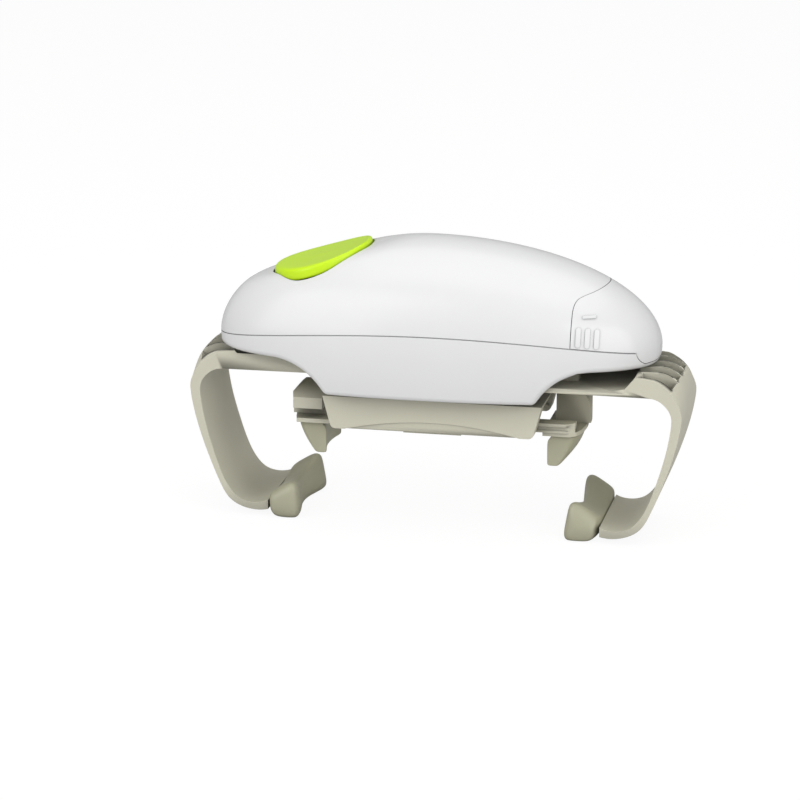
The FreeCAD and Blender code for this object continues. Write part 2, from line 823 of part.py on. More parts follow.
def battery_door():
    """Nose cover with grip ribs, a stop for its contact plate and two catches that slide under the shell."""
    pieces = [skin.common(door_zone(door_gap))]
    plate_x = cell_x + cell_length + cell_nub + contact_gap + contact_thickness
    stop = box(plate_x, nose_length + body_mid_x, -6, 6, body_level + 5, body_level + 13)
    pieces.append(stop.common(half_wall_form))
    catch_low = body_level + door_catch_low
    catch_high = catch_low + door_catch_height
    catch_inner_y = door_edge()[0] + door_gap
    catch_end = door_side_x + 5.0
    passing_form = tongue_form.translated(V(-door_catch_reach, 0, 0))
    passing_back = tongue_back.translated(V(-door_catch_reach, 0, 0))
    for side in (-1, 1):
        for rib in range(grip_rib_count):
            x = door_side_x + grip_rib_start + rib * grip_rib_pitch
            low = seam_height(x) + grip_rib_rise
            pieces.append(grip_bar(x, grip_rib_width, low, grip_rib_length, side))
        bar_x = door_side_x + grip_bar_start
        bar_low = seam_height(bar_x) + grip_bar_rise
        pieces.append(grip_bar(bar_x, grip_bar_length, bar_low, grip_bar_height, side))
        catch = box(door_side_x - door_catch_reach, catch_end, side * catch_inner_y, side * body_half_width,
                    catch_low, catch_high)
        pieces.append(catch.common(passing_form).cut(passing_back))
        bridge = box(door_side_x + door_gap + 0.2, catch_end, side * catch_inner_y, side * body_half_width,
                     catch_low, catch_high)
        pieces.append(bridge.common(half_wall_form).cut(passing_back))
    return welded(pieces)


def button_cap():
    """Button with a hanging skirt, a spring cup, a stem for the switch and two lugs that retain it."""
    column = button_column(0)
    inner_column = button_column(-button_wall)
    top = body_form(-button_proud)
    lid = column.common(top).cut(body_form(button_wall - button_proud))
    lid = lid.common(upper_room)
    skirt = column.cut(inner_column).common(top).cut(body_form(button_skirt_depth))
    skirt = skirt.common(upper_room)
    pieces = [lid, skirt]
    spring_seat = spring_top()
    cup = ring(switch_x, 0, spring_seat, far, spring_radius - 1.0, spring_radius + 1.0)
    pieces.append(cup.common(body_form(0.2 - button_proud)))
    stem = rod(switch_x, 0, switch_top() + button_travel + 0.1, far, stem_radius)
    pieces.append(stem.common(body_form(0.2 - button_proud)))
    for edge_x in (button_x - button_tail, button_x + button_nose):
        lug = box(edge_x - button_lug_length / 2, edge_x + button_lug_length / 2, -button_lug_half_width,
                  button_lug_half_width, body_level + button_floor, far)
        pieces.append(lug.common(body_form(shell_wall + 0.4)).cut(body_form(button_skirt_depth)))
    return welded(pieces)


def switch_top():
    """Level of the microswitch's plunger."""
    return bracket_z + bracket_height + board_thickness + switch_height + plunger_height


def spring_top():
    """Level of the button's spring cup."""
    return switch_top() + 0.4


# ---------------------------------------------------------------- outer arms and pads
def arm_x(inset):
    """Distance from the axis of a place that lies inset from the arm's reach."""
    return arm_reach - inset


def arm_point(inset, share):
    """Point of the arm's outline, by its inset from the reach and its share of the tray's level."""
    return V(arm_x(inset), 0, share * tray_level)


def outer_arm():
    """Right arm: rack, tray with a high far wall, slotted shoulder, and the band that curves to the pad."""
    slope_x = arm_x(shoulder_length)
    outside = [(pad_joint_inset, 0.047), (26, 0.043), (17.1, 0.107), (12.8, 0.214), (8.4, 0.377),
               (4.1, 0.567), (0.8, 0.772), (0, 0.908), (1.3, 1.012), (3.4, 1.066), (7.0, 1.108)]
    inside = [(pad_joint_inset, 0.110), (27, 0.089), (21.6, 0.112), (17.2, 0.178), (12.8, 0.312),
              (9.4, 0.469), (6.4, 0.639), (4.8, 0.775), (4.5, 0.873), (6.3, 0.948), (9.6, 0.990), (14, 1.0)]
    outer_points = [arm_point(inset, share) for inset, share in outside] + [V(arm_x(12), 0, shoulder_top)]
    inner_points = [arm_point(inset, share) for inset, share in inside]
    lip_top = tray_level + tray_lip_height
    slant_x = slope_x - shoulder_slant
    corners = [outer_points[-1], V(slope_x, 0, shoulder_top), V(slant_x, 0, lip_top),
               V(slant_x - tray_lip_ramp, 0, tray_top), V(tray_inner_x, 0, tray_top),
               V(tray_inner_x, 0, tray_level), inner_points[-1]]
    edges = [smooth_edge(outer_points), smooth_edge(inner_points)]
    edges += [Part.makeLine(a, b) for a, b in zip(corners, corners[1:])]
    edges.append(Part.makeLine(inner_points[0], outer_points[0]))
    band = side_prism(Part.__sortEdges__(edges), arm_low_y, arm_high_y)
    channel = box(tray_inner_x - 1, slope_x - 0.5, arm_low_y + tray_lip, arm_high_y - tray_lip, tray_top, far)
    band = band.cut(channel)
    wall = box(tray_inner_x, slope_x, arm_high_y - tray_lip, arm_high_y, tray_level, base_low - slide_gap)

    floor_points = [(17.5, 0), (12.5, 0.1), (9.0, 1.0), (6.2, 2.8)]
    floor_z = shoulder_top - slot_depth
    floor_curve = [V(arm_x(inset), 0, floor_z - drop) for inset, drop in floor_points]
    slot_pitch = (arm_width - rib_width) / slot_count
    for slot in range(slot_count):
        closed = slot % 2 == 0
        start_x = slope_x + 2.2 if closed else slope_x - 4
        start = V(start_x, 0, floor_z)
        top = V(start_x, 0, far)
        end = V(arm_x(3.4), 0, shoulder_top - 3.4)
        over = V(arm_x(3.4), 0, far)
        slot_edges = [smooth_edge([V(start_x, 0, floor_z)] + floor_curve[1:])]
        run = [floor_curve[-1], end, over, top, start]
        slot_edges += [Part.makeLine(a, b) for a, b in zip(run, run[1:])]
        low_y = arm_low_y + rib_width + slot * slot_pitch
        band = band.cut(side_prism(Part.__sortEdges__(slot_edges), low_y, low_y + slot_pitch - rib_width))

    side = -1
    root = outer_pitch + dedendum * outer_module
    bar_end = -7.0
    bar_x = slope_x - 26
    bar = box(bar_end, bar_x, side * (root + 0.3), side * (root + rack_thickness), rack_low, rack_high)
    foot = box(tray_inner_x, bar_x, side * (root + 0.3), side * (root + rack_thickness), tray_level, rack_high)
    gap_x = side * tooth_share(-90, 0, outer_teeth) * pi * outer_module
    teeth_end = arm_travel + 7
    teeth = rack_teeth(outer_module, bar_end, teeth_end, side, outer_pitch, gap_x, rack_low, rack_height)
    return joined([band, wall, bar, foot, teeth, pad_tongue(2.0)])


def pad_tongue(root):
    """Tongue on the arm's lower end that the soft pad is moulded round, from root inside its joint."""
    return box(arm_x(pad_joint_inset + pad_tongue_reach), arm_x(pad_joint_inset - root),
               arm_low_y + pad_tongue_margin, arm_high_y - pad_tongue_margin,
               pad_tongue_level, pad_tongue_level + pad_tongue_thickness)


def outer_pad():
    """Right soft foot: rises towards its tips and is hollowed to the jar's round wall."""
    joint = arm_x(pad_joint_inset)
    tip = arm_x(pad_tip_inset)
    top = [V(joint, 0, pad_top * 0.58), V(joint - 3, 0, pad_top * 0.82), V(joint - 6.6, 0, pad_top * 0.97),
           V(joint - 10, 0, pad_top), V(tip + 1.6, 0, pad_top * 0.99)]
    nose = [top[-1], V(tip + 0.2, 0, pad_top * 0.88), V(tip, 0, pad_top * 0.7)]
    toe_radius = 3.4
    sole = [V(tip, 0, toe_radius), V(tip + toe_radius, 0, 0), V(joint - 5.4, 0, 0),
            V(joint, 0, pad_top / 6)]
    edges = [smooth_edge(top), smooth_edge(nose), Part.makeLine(nose[-1], sole[0]),
             level_arc(sole[1], sole[0]), Part.makeLine(sole[1], sole[2]), level_arc(sole[2], sole[3]),
             Part.makeLine(sole[3], top[0])]
    foot = side_prism(Part.__sortEdges__(edges), arm_low_y - pad_overhang, arm_high_y + pad_overhang)
    jar_x = tip + pad_valley - pad_jar_radius
    foot = foot.cut(rod(jar_x, -arm_offset, -1, pad_top + 1, pad_jar_radius))
    half_span = arm_width / 3
    saddle_radius = (half_span ** 2 + pad_saddle ** 2) / (2 * pad_saddle)
    saddle_z = pad_top - pad_saddle + saddle_radius
    foot = foot.cut(rod_x(tip - 2, joint - 2, -arm_offset, saddle_z, saddle_radius))
    return foot.cut(pad_tongue(1.0))


def outer_pinion():
    """Pinion between the arms' racks, with a hub that stands up through the gear frame."""
    wheel = gear(outer_teeth, outer_module, 0, 0, rack_low + 0.1, rack_height - 0.2, 0)
    hub = rod(0, 0, rack_low + 0.1, base_high - 0.3, collar_radius + 0.6)
    return joined([wheel, hub]).cut(rod(0, 0, 0, far, sleeve_radius + running_fit))


# ---------------------------------------------------------------- turret and carriage
def turret_bush():
    """Bearing ring in the belly, with a lip that lies on its floor."""
    body = ring(0, 0, belly_level, belly_floor, hub_radius + running_fit, bush_radius)
    lip = ring(0, 0, belly_floor, belly_floor + bush_lip_height, hub_radius + running_fit, retainer_radius)
    return joined([body, lip])


def retainer_screw_spots():
    """Places of the three screws round the hub."""
    return [beyond(0, 0, 90 + 120 * turn, retainer_screw_ring) for turn in range(3)]


def turret_retainer():
    """Washer on the hub's top that keeps the carriage from dropping out."""
    shape = ring(0, 0, hub_top, retainer_top, collar_radius, retainer_radius)
    for x, y in retainer_screw_spots():
        shape = shape.cut(rod(x, y, hub_top, retainer_top, screw_radius))
    return shape


def carriage_frame():
    """Channel that the jaws slide in, with the hub and sleeve that it turns on."""
    low_end = carriage_bottom_half_length
    high_end = carriage_top_half_length
    ends = [(-low_end, carriage_bottom), (low_end, carriage_bottom),
            (high_end, carriage_top), (-high_end, carriage_top)]
    block = side_prism(polygon_edges(ends), -carriage_half_width, carriage_half_width)
    corners = [edge for edge in block.Edges if abs(edge.tangentAt(edge.FirstParameter).y) > 0.9
               and edge.CenterOfMass.z < carriage_bottom + 1]
    block = block.makeFillet(carriage_corner, corners)
    reach = carriage_top_half_length + 1
    ceiling = carriage_top - carriage_roof
    half_channel = channel_half_width
    block = block.cut(box(-reach, reach, -half_channel, half_channel, carriage_bottom - 1, ceiling))

    slot_x = tower_inner_x - jaw_travel - slide_gap
    slot = box(slot_x, reach, 0, tower_half_width + slide_gap, ceiling - 1, carriage_top + 1)
    block = block.cut(slot).cut(half_turned(slot))

    arch_radius = (face_arch_half_length ** 2 + face_arch_height ** 2) / (2 * face_arch_height)
    arch_low = carriage_bottom + face_arch_height - arch_radius
    arch = Part.makeCylinder(arch_radius, far, V(0, -far / 2, arch_low), Y_AXIS)
    depth = face_arch_depth
    wedge = Part.makePolygon([V(-reach, -carriage_half_width - 1, carriage_bottom - 1),
                              V(-reach, -carriage_half_width + depth, carriage_bottom - 1),
                              V(-reach, -carriage_half_width, carriage_bottom + face_arch_height * 2),
                              V(-reach, -carriage_half_width - 1, carriage_bottom + face_arch_height * 2),
                              V(-reach, -carriage_half_width - 1, carriage_bottom - 1)])
    bevel = Part.Face(wedge).extrude(V(2 * reach, 0, 0)).common(arch)
    block = block.cut(bevel).cut(half_turned(bevel))

    wall_y = (channel_half_width + carriage_half_width) / 2
    for side_x in (-1, 1):
        for side_y in (-1, 1):
            end_x = carriage_bottom_half_length
            block = block.cut(box(side_x * (end_x - 1.5), side_x * reach, side_y * wall_y - 0.6,
                                  side_y * wall_y + 0.6, carriage_bottom + 3.5, carriage_top - 3.2))

    cover_zone = box(-cover_half_length - 0.2, cover_half_length + 0.2, -cover_half_width - 0.2,
                     cover_half_width + 0.2, carriage_bottom - 1, cover_high)
    block = block.cut(cover_zone)
    pieces = [block]
    rib_z = jaw_rack_low + guide_rib_rise
    rib_end = carriage_bottom_half_length - 0.6
    for side in (-1, 1):
        pieces.append(box(-rib_end, rib_end, side * (half_channel - guide_rib), side * half_channel,
                          rib_z, rib_z + guide_rib_height))
    pieces.append(rod(0, 0, ceiling, hub_top, hub_radius))
    pieces.append(rod(0, 0, hub_top, rack_low - 0.2, collar_radius))
    pieces.append(rod(0, 0, rack_low - 0.2, sleeve_top, sleeve_radius))
    shape = joined(pieces).cut(rod(0, 0, carriage_bottom - 1, far, spindle_radius + running_fit))
    for x, y in retainer_screw_spots():
        shape = shape.cut(rod(x, y, retainer_top - retainer_screw_length, hub_top, screw_radius))
    for x, y in cover_screw_spots:
        shape = shape.cut(rod(x, y, cover_high, cover_screw_seat + cover_screw_length, screw_radius))
    return shape


def carriage_cover():
    """Plate across the middle of the channel, beneath the jaws' racks, with sunk seats for its screws."""
    plate = box(-cover_half_length, cover_half_length, -cover_half_width, cover_half_width,
                flange_level, cover_high)
    for x, y in cover_screw_spots:
        plate = plate.cut(rod(x, y, flange_level, cover_high, screw_radius))
        plate = plate.cut(rod(x, y, flange_level, cover_screw_seat, screw_head_radius + screw_head_gap))
    return plate


def drive_spindle():
    """Steel shaft from the jaw pinion up through the sleeve and the main gear, grooved for its clip."""
    shaft = rod(0, 0, cover_high + 0.3, clip_low + clip_height + 0.8, spindle_radius)
    groove = ring(0, 0, clip_low, clip_low + clip_height, spindle_radius - clip_groove, spindle_radius + 1)
    return shaft.cut(groove)


def inner_pinion():
    """Pinion between the jaws' racks, pressed on the spindle."""
    wheel = gear(inner_teeth, inner_module, 0, 0, jaw_rack_low + 0.1, jaw_rack_height - 0.2, 0)
    hub = rod(0, 0, jaw_rack_low + 0.1, carriage_top - carriage_roof - 0.3, spindle_radius + 2.2)
    return joined([wheel, hub]).cut(rod(0, 0, 0, far, spindle_radius))


def clutch_disc():
    """Friction disc that turns with the spindle and rubs on the main gear."""
    return ring(0, 0, clutch_low, clutch_low + clutch_height, spindle_radius, clutch_radius)


def clutch_spring():
    """Dished spring washer: a cone that opens downwards."""
    low = clutch_low + clutch_height
    high = low + clutch_spring_height
    inner = spindle_radius + 0.1
    outer = clutch_radius - 1
    section = [V(inner, 0, high - clutch_spring_wall), V(inner, 0, high),
               V(outer, 0, low + clutch_spring_wall), V(outer, 0, low)]
    return Part.Face(Part.makePolygon(section + section[:1])).revolve(V(0, 0, 0), Z_AXIS, 360)


def spindle_clip():
    """Open clip that snaps into the spindle's groove."""
    inner = spindle_radius - clip_groove
    shape = ring(0, 0, clip_low, clip_low + clip_height, inner, inner + clip_width)
    mouth = inner * 0.85
    return shape.cut(box(0, inner + clip_width + 1, -mouth, mouth, clip_low - 1, clip_low + clip_height + 1))


# ---------------------------------------------------------------- lid jaws
def inner_jaw():
    """Right jaw: flange, rack on the front side, tower on the back side and the finger in its pad."""
    reach = jaw_radius + 10
    flange = rod(0, 0, flange_level, jaw_rack_low, jaw_radius)
    flange = flange.common(box(flange_inner_x, reach, -flange_half_width, flange_half_width, 0, far))

    side = -1
    bar_end = -7.0
    bar_back = side * jaw_rack_outer_y
    bar = box(bar_end, jaw_rack_outer_x, bar_back, side * (jaw_root_y + 0.3), jaw_rack_low, jaw_rack_high)
    gap_x = side * tooth_share(-90, 0, inner_teeth) * pi * inner_module
    teeth_end = jaw_travel + 7
    teeth = rack_teeth(inner_module, bar_end, teeth_end, side, inner_pitch, gap_x, jaw_rack_low,
                       jaw_rack_height)
    rib_z = jaw_rack_low + guide_rib_rise
    groove = box(bar_end - 1, reach, bar_back - 1, side * (channel_half_width - guide_rib - guide_rib_fit),
                 rib_z - guide_rib_fit, rib_z + guide_rib_height + guide_rib_fit)
    bar = bar.cut(groove)

    tower = rod(0, 0, jaw_rack_low, tower_top, tower_radius)
    tower = tower.common(box(tower_inner_x, reach, 0.4, tower_half_width, 0, far))
    span = tower_half_width
    dome_radius = (span ** 2 + tower_slope ** 2) / (2 * tower_slope)
    tower = tower.common(rod_x(tower_inner_x - 1, reach, 0, tower_top - dome_radius, dome_radius))
    corner_x = tower_radius - tower_corner
    corner_z = tower_top - tower_corner_height
    shade = cos(radians(45))
    corner_mid = V(corner_x + tower_corner * shade, 0, corner_z + tower_corner_height * shade)
    corner = smooth_edge([V(tower_radius, 0, corner_z), corner_mid, V(corner_x, 0, tower_top)],
                         V(0, 0, 1), V(-1, 0, 0))
    below = [V(corner_x, 0, tower_top), V(tower_inner_x - 1, 0, tower_top), V(tower_inner_x - 1, 0, 0),
             V(tower_radius, 0, 0), V(tower_radius, 0, corner_z)]
    nose = side_prism([corner] + [Part.makeLine(a, b) for a, b in zip(below, below[1:])], -far, far)
    tower = tower.common(nose)
    passing_y = inner_pitch - addendum * inner_module - jaw_passing_gap
    notch = box(0, reach, passing_y, far, jaw_rack_low - 1, jaw_rack_high + jaw_passing_gap)
    tower = tower.cut(notch)

    finger = box(finger_x, finger_x + finger_thickness, -finger_half_width, finger_half_width,
                 flange_level - finger_depth, jaw_rack_low)
    web = box(flange_inner_x + 5, jaw_radius - 6, 0.4, passing_y, flange_level, jaw_rack_low + 1)
    return joined([flange, bar, teeth, tower, finger, web])


def jaw_pad():
    """Right lid pad: a soft wedge under the flange whose round back sweeps in to its foot."""
    top = flange_level
    low = top - jaw_pad_depth
    inner = jaw_pad_inner_x
    foot_x = inner + jaw_pad_foot
    back = [V(jaw_pad_radius, 0, top), V(jaw_pad_radius - 0.6, 0, top - 2.6),
            V(jaw_pad_radius - 4.2, 0, top - 9.2), V(foot_x, 0, low)]
    flare = [V(inner - jaw_pad_flare, 0, top), V(inner - jaw_pad_flare * 0.4, 0, top - 1.2),
             V(inner, 0, top - 4.5)]
    edges = [smooth_edge(back), smooth_edge(flare), Part.makeLine(back[-1], V(inner, 0, low)),
             Part.makeLine(V(inner, 0, low), flare[-1]), Part.makeLine(flare[0], back[0])]
    wedge = side_prism(Part.__sortEdges__(edges), -jaw_pad_half_width, jaw_pad_half_width)
    wedge = wedge.common(rod(0, 0, low - 1, top + 1, jaw_pad_radius))
    finger = box(finger_x, finger_x + finger_thickness, -finger_half_width, finger_half_width,
                 flange_level - finger_depth, top + 1)
    return wedge.cut(finger)


# ---------------------------------------------------------------- gear train and its frame
def gear_base():
    """Lower gear plate, screwed to the shell's ledges."""
    half_length = base_plate_half_length
    half_width = base_plate_half_width
    plate = box(-half_length, half_length, -half_width, half_width, base_low, base_high)
    plate = plate.common(body_form(shell_wall + 0.3))
    plate = plate.cut(rod(0, 0, base_low, base_high, collar_radius + 1.0))
    plate = plate.cut(rod(gear_two_x, gear_two_y, base_low, base_high, axle_radius))
    for x, y in base_screw_spots:
        plate = plate.cut(rod(x, y, base_low, base_high, screw_radius))
    return plate


def gear_top():
    """Upper gear plate on four pillars; the motor stands on it."""
    in_order = sorted(pillar_spots, key=lambda spot: degrees_of(*spot))
    rim = [beyond(x, y, degrees_of(x, y), pillar_radius + 1) for x, y in in_order]
    corners = [V(x, y, top_low) for x, y in rim]
    pieces = [Part.Face(Part.makePolygon(corners + corners[:1])).extrude(V(0, 0, base_plate_height))]
    pieces.append(rod(motor_x, motor_y, top_low, top_high, motor_radius + 1))
    for x, y in ((gear_one_x, gear_one_y), (gear_two_x, gear_two_y)):
        pieces.append(rod(x, y, top_low, top_high, axle_radius + 3))
    for x, y in pillar_spots:
        pieces.append(rod(x, y, base_high, top_high, pillar_radius))
    shape = joined(pieces)
    for x, y in ((gear_one_x, gear_one_y), (gear_two_x, gear_two_y)):
        shape = shape.cut(rod(x, y, top_low, top_high, axle_radius))
    shape = shape.cut(rod(motor_x, motor_y, top_low, top_high, motor_boss_radius))
    for spot in motor_screw_spots():
        shape = shape.cut(rod(spot[0], spot[1], top_low, top_high, screw_radius))
    return shape


def degrees_of(x, y):
    """Direction of a place from the carriage axis, from 0 to 360 degrees."""
    angle = acos(x / (x * x + y * y) ** 0.5) * 180 / pi
    return angle if y >= 0 else 360 - angle


def motor_screw_spots():
    """Places of the two screws that hold the motor, either side of its shaft."""
    return [beyond(motor_x, motor_y, angle, motor_radius - 4.2) for angle in (90, 270)]


def gear_axles():
    """Steel pins: one right through the gear frame, one hanging from its upper plate."""
    long_pin = rod(gear_two_x, gear_two_y, base_low, top_high, axle_radius)
    short_pin = rod(gear_one_x, gear_one_y, second_low - 0.2, top_high, axle_radius)
    return Part.makeCompound([long_pin, short_pin])


def main_gear():
    """Large gear that turns freely on the spindle, beneath the clutch."""
    wheel = gear(main_teeth, main_module, 0, 0, main_low, main_gear_height, 0)
    return wheel.cut(rod(0, 0, 0, far, spindle_radius + running_fit))


gear_two_phase = meshing_phase(gear_two_angle, 0, main_teeth, main_pinion_teeth)
gear_one_phase = meshing_phase(gear_one_angle, 0, second_teeth, second_pinion_teeth)
motor_pinion_phase = meshing_phase(motor_angle, 0, first_teeth, motor_pinion_teeth)


def gear_two():
    """Second reduction: a small gear on the main gear, and a large one above it."""
    small = gear(main_pinion_teeth, main_module, gear_two_x, gear_two_y, main_low,
                 main_gear_height + gear_step, gear_two_phase)
    large = gear(second_teeth, second_module, gear_two_x, gear_two_y, second_low, second_gear_height, 0)
    bore = rod(gear_two_x, gear_two_y, 0, far, axle_radius + running_fit)
    return joined([small, large]).cut(bore)


def gear_one():
    """First reduction: a small gear on gear two, and a large one on the motor's pinion."""
    small = gear(second_pinion_teeth, second_module, gear_one_x, gear_one_y, second_low,
                 second_gear_height + gear_step, gear_one_phase)
    large = gear(first_teeth, first_module, gear_one_x, gear_one_y, first_low, first_gear_height, 0)
    bore = rod(gear_one_x, gear_one_y, 0, far, axle_radius + running_fit)
    return joined([small, large]).cut(bore)


def motor_can():
    """Drawn steel can with the front boss that centres it in the upper gear plate."""
    top = top_high + motor_length
    can = rod(motor_x, motor_y, top_high, top, motor_radius)
    can = can.cut(rod(motor_x, motor_y, top_high + motor_wall, top, motor_radius - motor_wall))
    shape = joined([can, rod(motor_x, motor_y, top_low + 0.2, top_high, motor_boss_radius)])
    shape = shape.cut(rod(motor_x, motor_y, top_low, top, motor_shaft_radius + running_fit))
    for x, y in motor_screw_spots():
        shape = shape.cut(rod(x, y, top_high, top, screw_radius))
    return shape


def motor_end_cap():
    """Plastic cap that closes the can and holds the shaft's rear end."""
    top = top_high + motor_length
    plug = rod(motor_x, motor_y, top - motor_cap_depth, top, motor_radius - motor_wall)
    rear = rod(motor_x, motor_y, top, top + 1.8, motor_boss_radius)
    return joined([plug, rear]).cut(rod(motor_x, motor_y, 0, top - 0.2, motor_shaft_radius + running_fit))


def motor_magnets():
    """Two curved magnets against the can's wall."""
    low = top_high + motor_wall + magnet_gap
    high = top_high + motor_length - motor_cap_depth
    outer = motor_radius - motor_wall
    tube = ring(motor_x, motor_y, low, high, outer - magnet_thickness, outer)
    half = motor_radius
    window = box(motor_x - magnet_slot / 2, motor_x + magnet_slot / 2, motor_y - half, motor_y + half, low, high)
    return tube.cut(window)


def motor_armature():
    """Wound core and commutator on the motor's shaft."""
    low = top_high + motor_wall + magnet_gap
    high = top_high + motor_length - motor_cap_depth - magnet_gap
    core_radius = motor_radius - motor_wall - magnet_thickness - 0.5
    core = rod(motor_x, motor_y, low, high - commutator_length, core_radius)
    for slot in range(3):
        x, y = beyond(motor_x, motor_y, 60 + 120 * slot, core_radius)
        core = core.cut(rod(x, y, low, high, 1.4))
    commutator = rod(motor_x, motor_y, high - commutator_length, high, motor_shaft_radius * 2.5)
    return joined([core, commutator]).cut(rod(motor_x, motor_y, 0, far, motor_shaft_radius))


def motor_shaft():
    """Steel shaft from the pinion to the end cap."""
    return rod(motor_x, motor_y, first_low, top_high + motor_length - 0.4, motor_shaft_radius)


def motor_pinion():
    """Brass pinion pressed on the motor's shaft."""
    wheel = gear(motor_pinion_teeth, first_module, motor_x, motor_y, first_low, first_gear_height,
                 motor_pinion_phase)
    return wheel.cut(rod(motor_x, motor_y, 0, far, motor_shaft_radius))


# ---------------------------------------------------------------- batteries and switch gear
def cell(y, turned):
    """One battery, with its raised terminal towards the door unless it is turned round."""
    nub_radius = cell_radius * 0.38
    if turned:
        can = rod_x(cell_x + cell_nub, cell_x + cell_nub + cell_length, y, cell_z, cell_radius)
        return joined([can, rod_x(cell_x, cell_x + cell_nub, y, cell_z, nub_radius)])
    can = rod_x(cell_x, cell_x + cell_length, y, cell_z, cell_radius)
    return joined([can, rod_x(cell_x + cell_length, cell_x + cell_length + cell_nub, y, cell_z, nub_radius)])


def battery_cradle():
    """Tray with two troughs, an end wall for the contacts and feet on the floor beneath."""
    wall_x = cell_x - contact_gap - contact_thickness
    half_width = cell_pitch / 2 + cell_radius + cradle_wall
    low = cell_z - cell_radius - cradle_wall
    end_x = cell_x + cell_length - 1.5
    block = box(wall_x - cradle_wall, end_x, -half_width, half_width, low, cell_z)
    for side in (-1, 1):
        block = block.cut(rod_x(wall_x, end_x + 1, side * cell_pitch / 2, cell_z, cell_radius + running_fit))
    block = block.cut(box(wall_x, end_x + 1, -cell_pitch / 2, cell_pitch / 2, cell_z - 2.5, cell_z + 1))
    wall = box(wall_x - cradle_wall, wall_x, -half_width + 2, half_width - 2, low, cell_z + 5)
    front_foot = box(sweep_head(), end_x, -12, 12, end_floor, low + 0.5)
    rear_foot = box(wall_x + 1, base_plate_half_length - 2, -10, 10, base_high, low + 0.5)
    return joined([block, wall, front_foot, rear_foot])


def contact_plates():
    """Two plates on the cradle's end wall; one is raised to meet a battery's terminal."""
    x0 = cell_x - contact_gap - contact_thickness
    shapes = []
    for side in (-1, 1):
        y = side * cell_pitch / 2
        shapes.append(box(x0, x0 + contact_thickness, y - 5, y + 5, cell_z - 4, cell_z + 4))
    raised = rod_x(x0 + contact_thickness, cell_x, cell_pitch / 2, cell_z, 2.0)
    return Part.makeCompound([shapes[0], joined([shapes[1], raised])])


def lying_spring(x, y, length):
    """Battery spring along X."""
    shape = coil(V(0, 0, 0), cell_spring_radius, cell_spring_wire, length, cell_spring_turns)
    shape.rotate(V(0, 0, 0), Y_AXIS, 90)
    shape.translate(V(x, y, cell_z))
    return shape


def door_contact():
    """Plate in the door that joins the two batteries, raised to meet one terminal."""
    x0 = cell_x + cell_length + cell_nub + contact_gap
    plate = box(x0, x0 + contact_thickness, -12.5, 12.5, cell_z - 4, cell_z + 4)
    raised = rod_x(x0 - contact_gap + 0.3, x0, -cell_pitch / 2, cell_z, 2.0)
    return joined([plate, raised])


def switch_bracket():
    """Plate for the circuit board, with two arms that are screwed to the upper shell's posts."""
    plate = box(switch_x - 16, switch_x + 14, -switch_plate_half_width, switch_plate_half_width, bracket_z,
                bracket_z + bracket_height)
    arm_end = bracket_screw_y + 3.0
    arms = box(bracket_screw_x - 4, bracket_screw_x + 4, -arm_end, arm_end,
               bracket_z, bracket_z + bracket_height)
    shape = joined([plate, arms])
    for x, y in bracket_screw_spots:
        shape = shape.cut(rod(x, y, bracket_z, bracket_z + bracket_height, screw_radius))
    return shape


def circuit_board():
    """Board under the button that carries the microswitch."""
    low = bracket_z + bracket_height
    half_width = switch_plate_half_width - 1
    return box(switch_x - 14, switch_x + 12, -half_width, half_width, low, low + board_thickness)


def microswitch():
    """Switch body with its plunger, which the button's stem presses."""
    low = bracket_z + bracket_height + board_thickness
    half_length = switch_length / 2
    half_width = switch_width / 2
    body = box(switch_x - half_length, switch_x + half_length, -half_width, half_width,
               low, low + switch_height)
    plunger = box(switch_x - 1.5, switch_x + 1.5, -1, 1, low + switch_height, switch_top())
    return joined([body, plunger])


# ---------------------------------------------------------------- screws
def screw_set(spots, seat_z, length, upward=True):
    """Equal screws with their heads at one level."""
    return Part.makeCompound([screw(x, y, seat_z, length, upward) for x, y in spots])


right_arm = outer_arm()
right_pad = outer_pad()
right_jaw = inner_jaw()
right_jaw_pad = jaw_pad()
slip_washer = ring(0, 0, base_high - 0.3, main_low - 0.2, sleeve_radius + running_fit, collar_radius + 0.5)
board_top = bracket_z + bracket_height + board_thickness
shell_screws = [screw(x, y, shell_screw_seat(x), shell_screw_length) for x, y in shell_screw_spots]

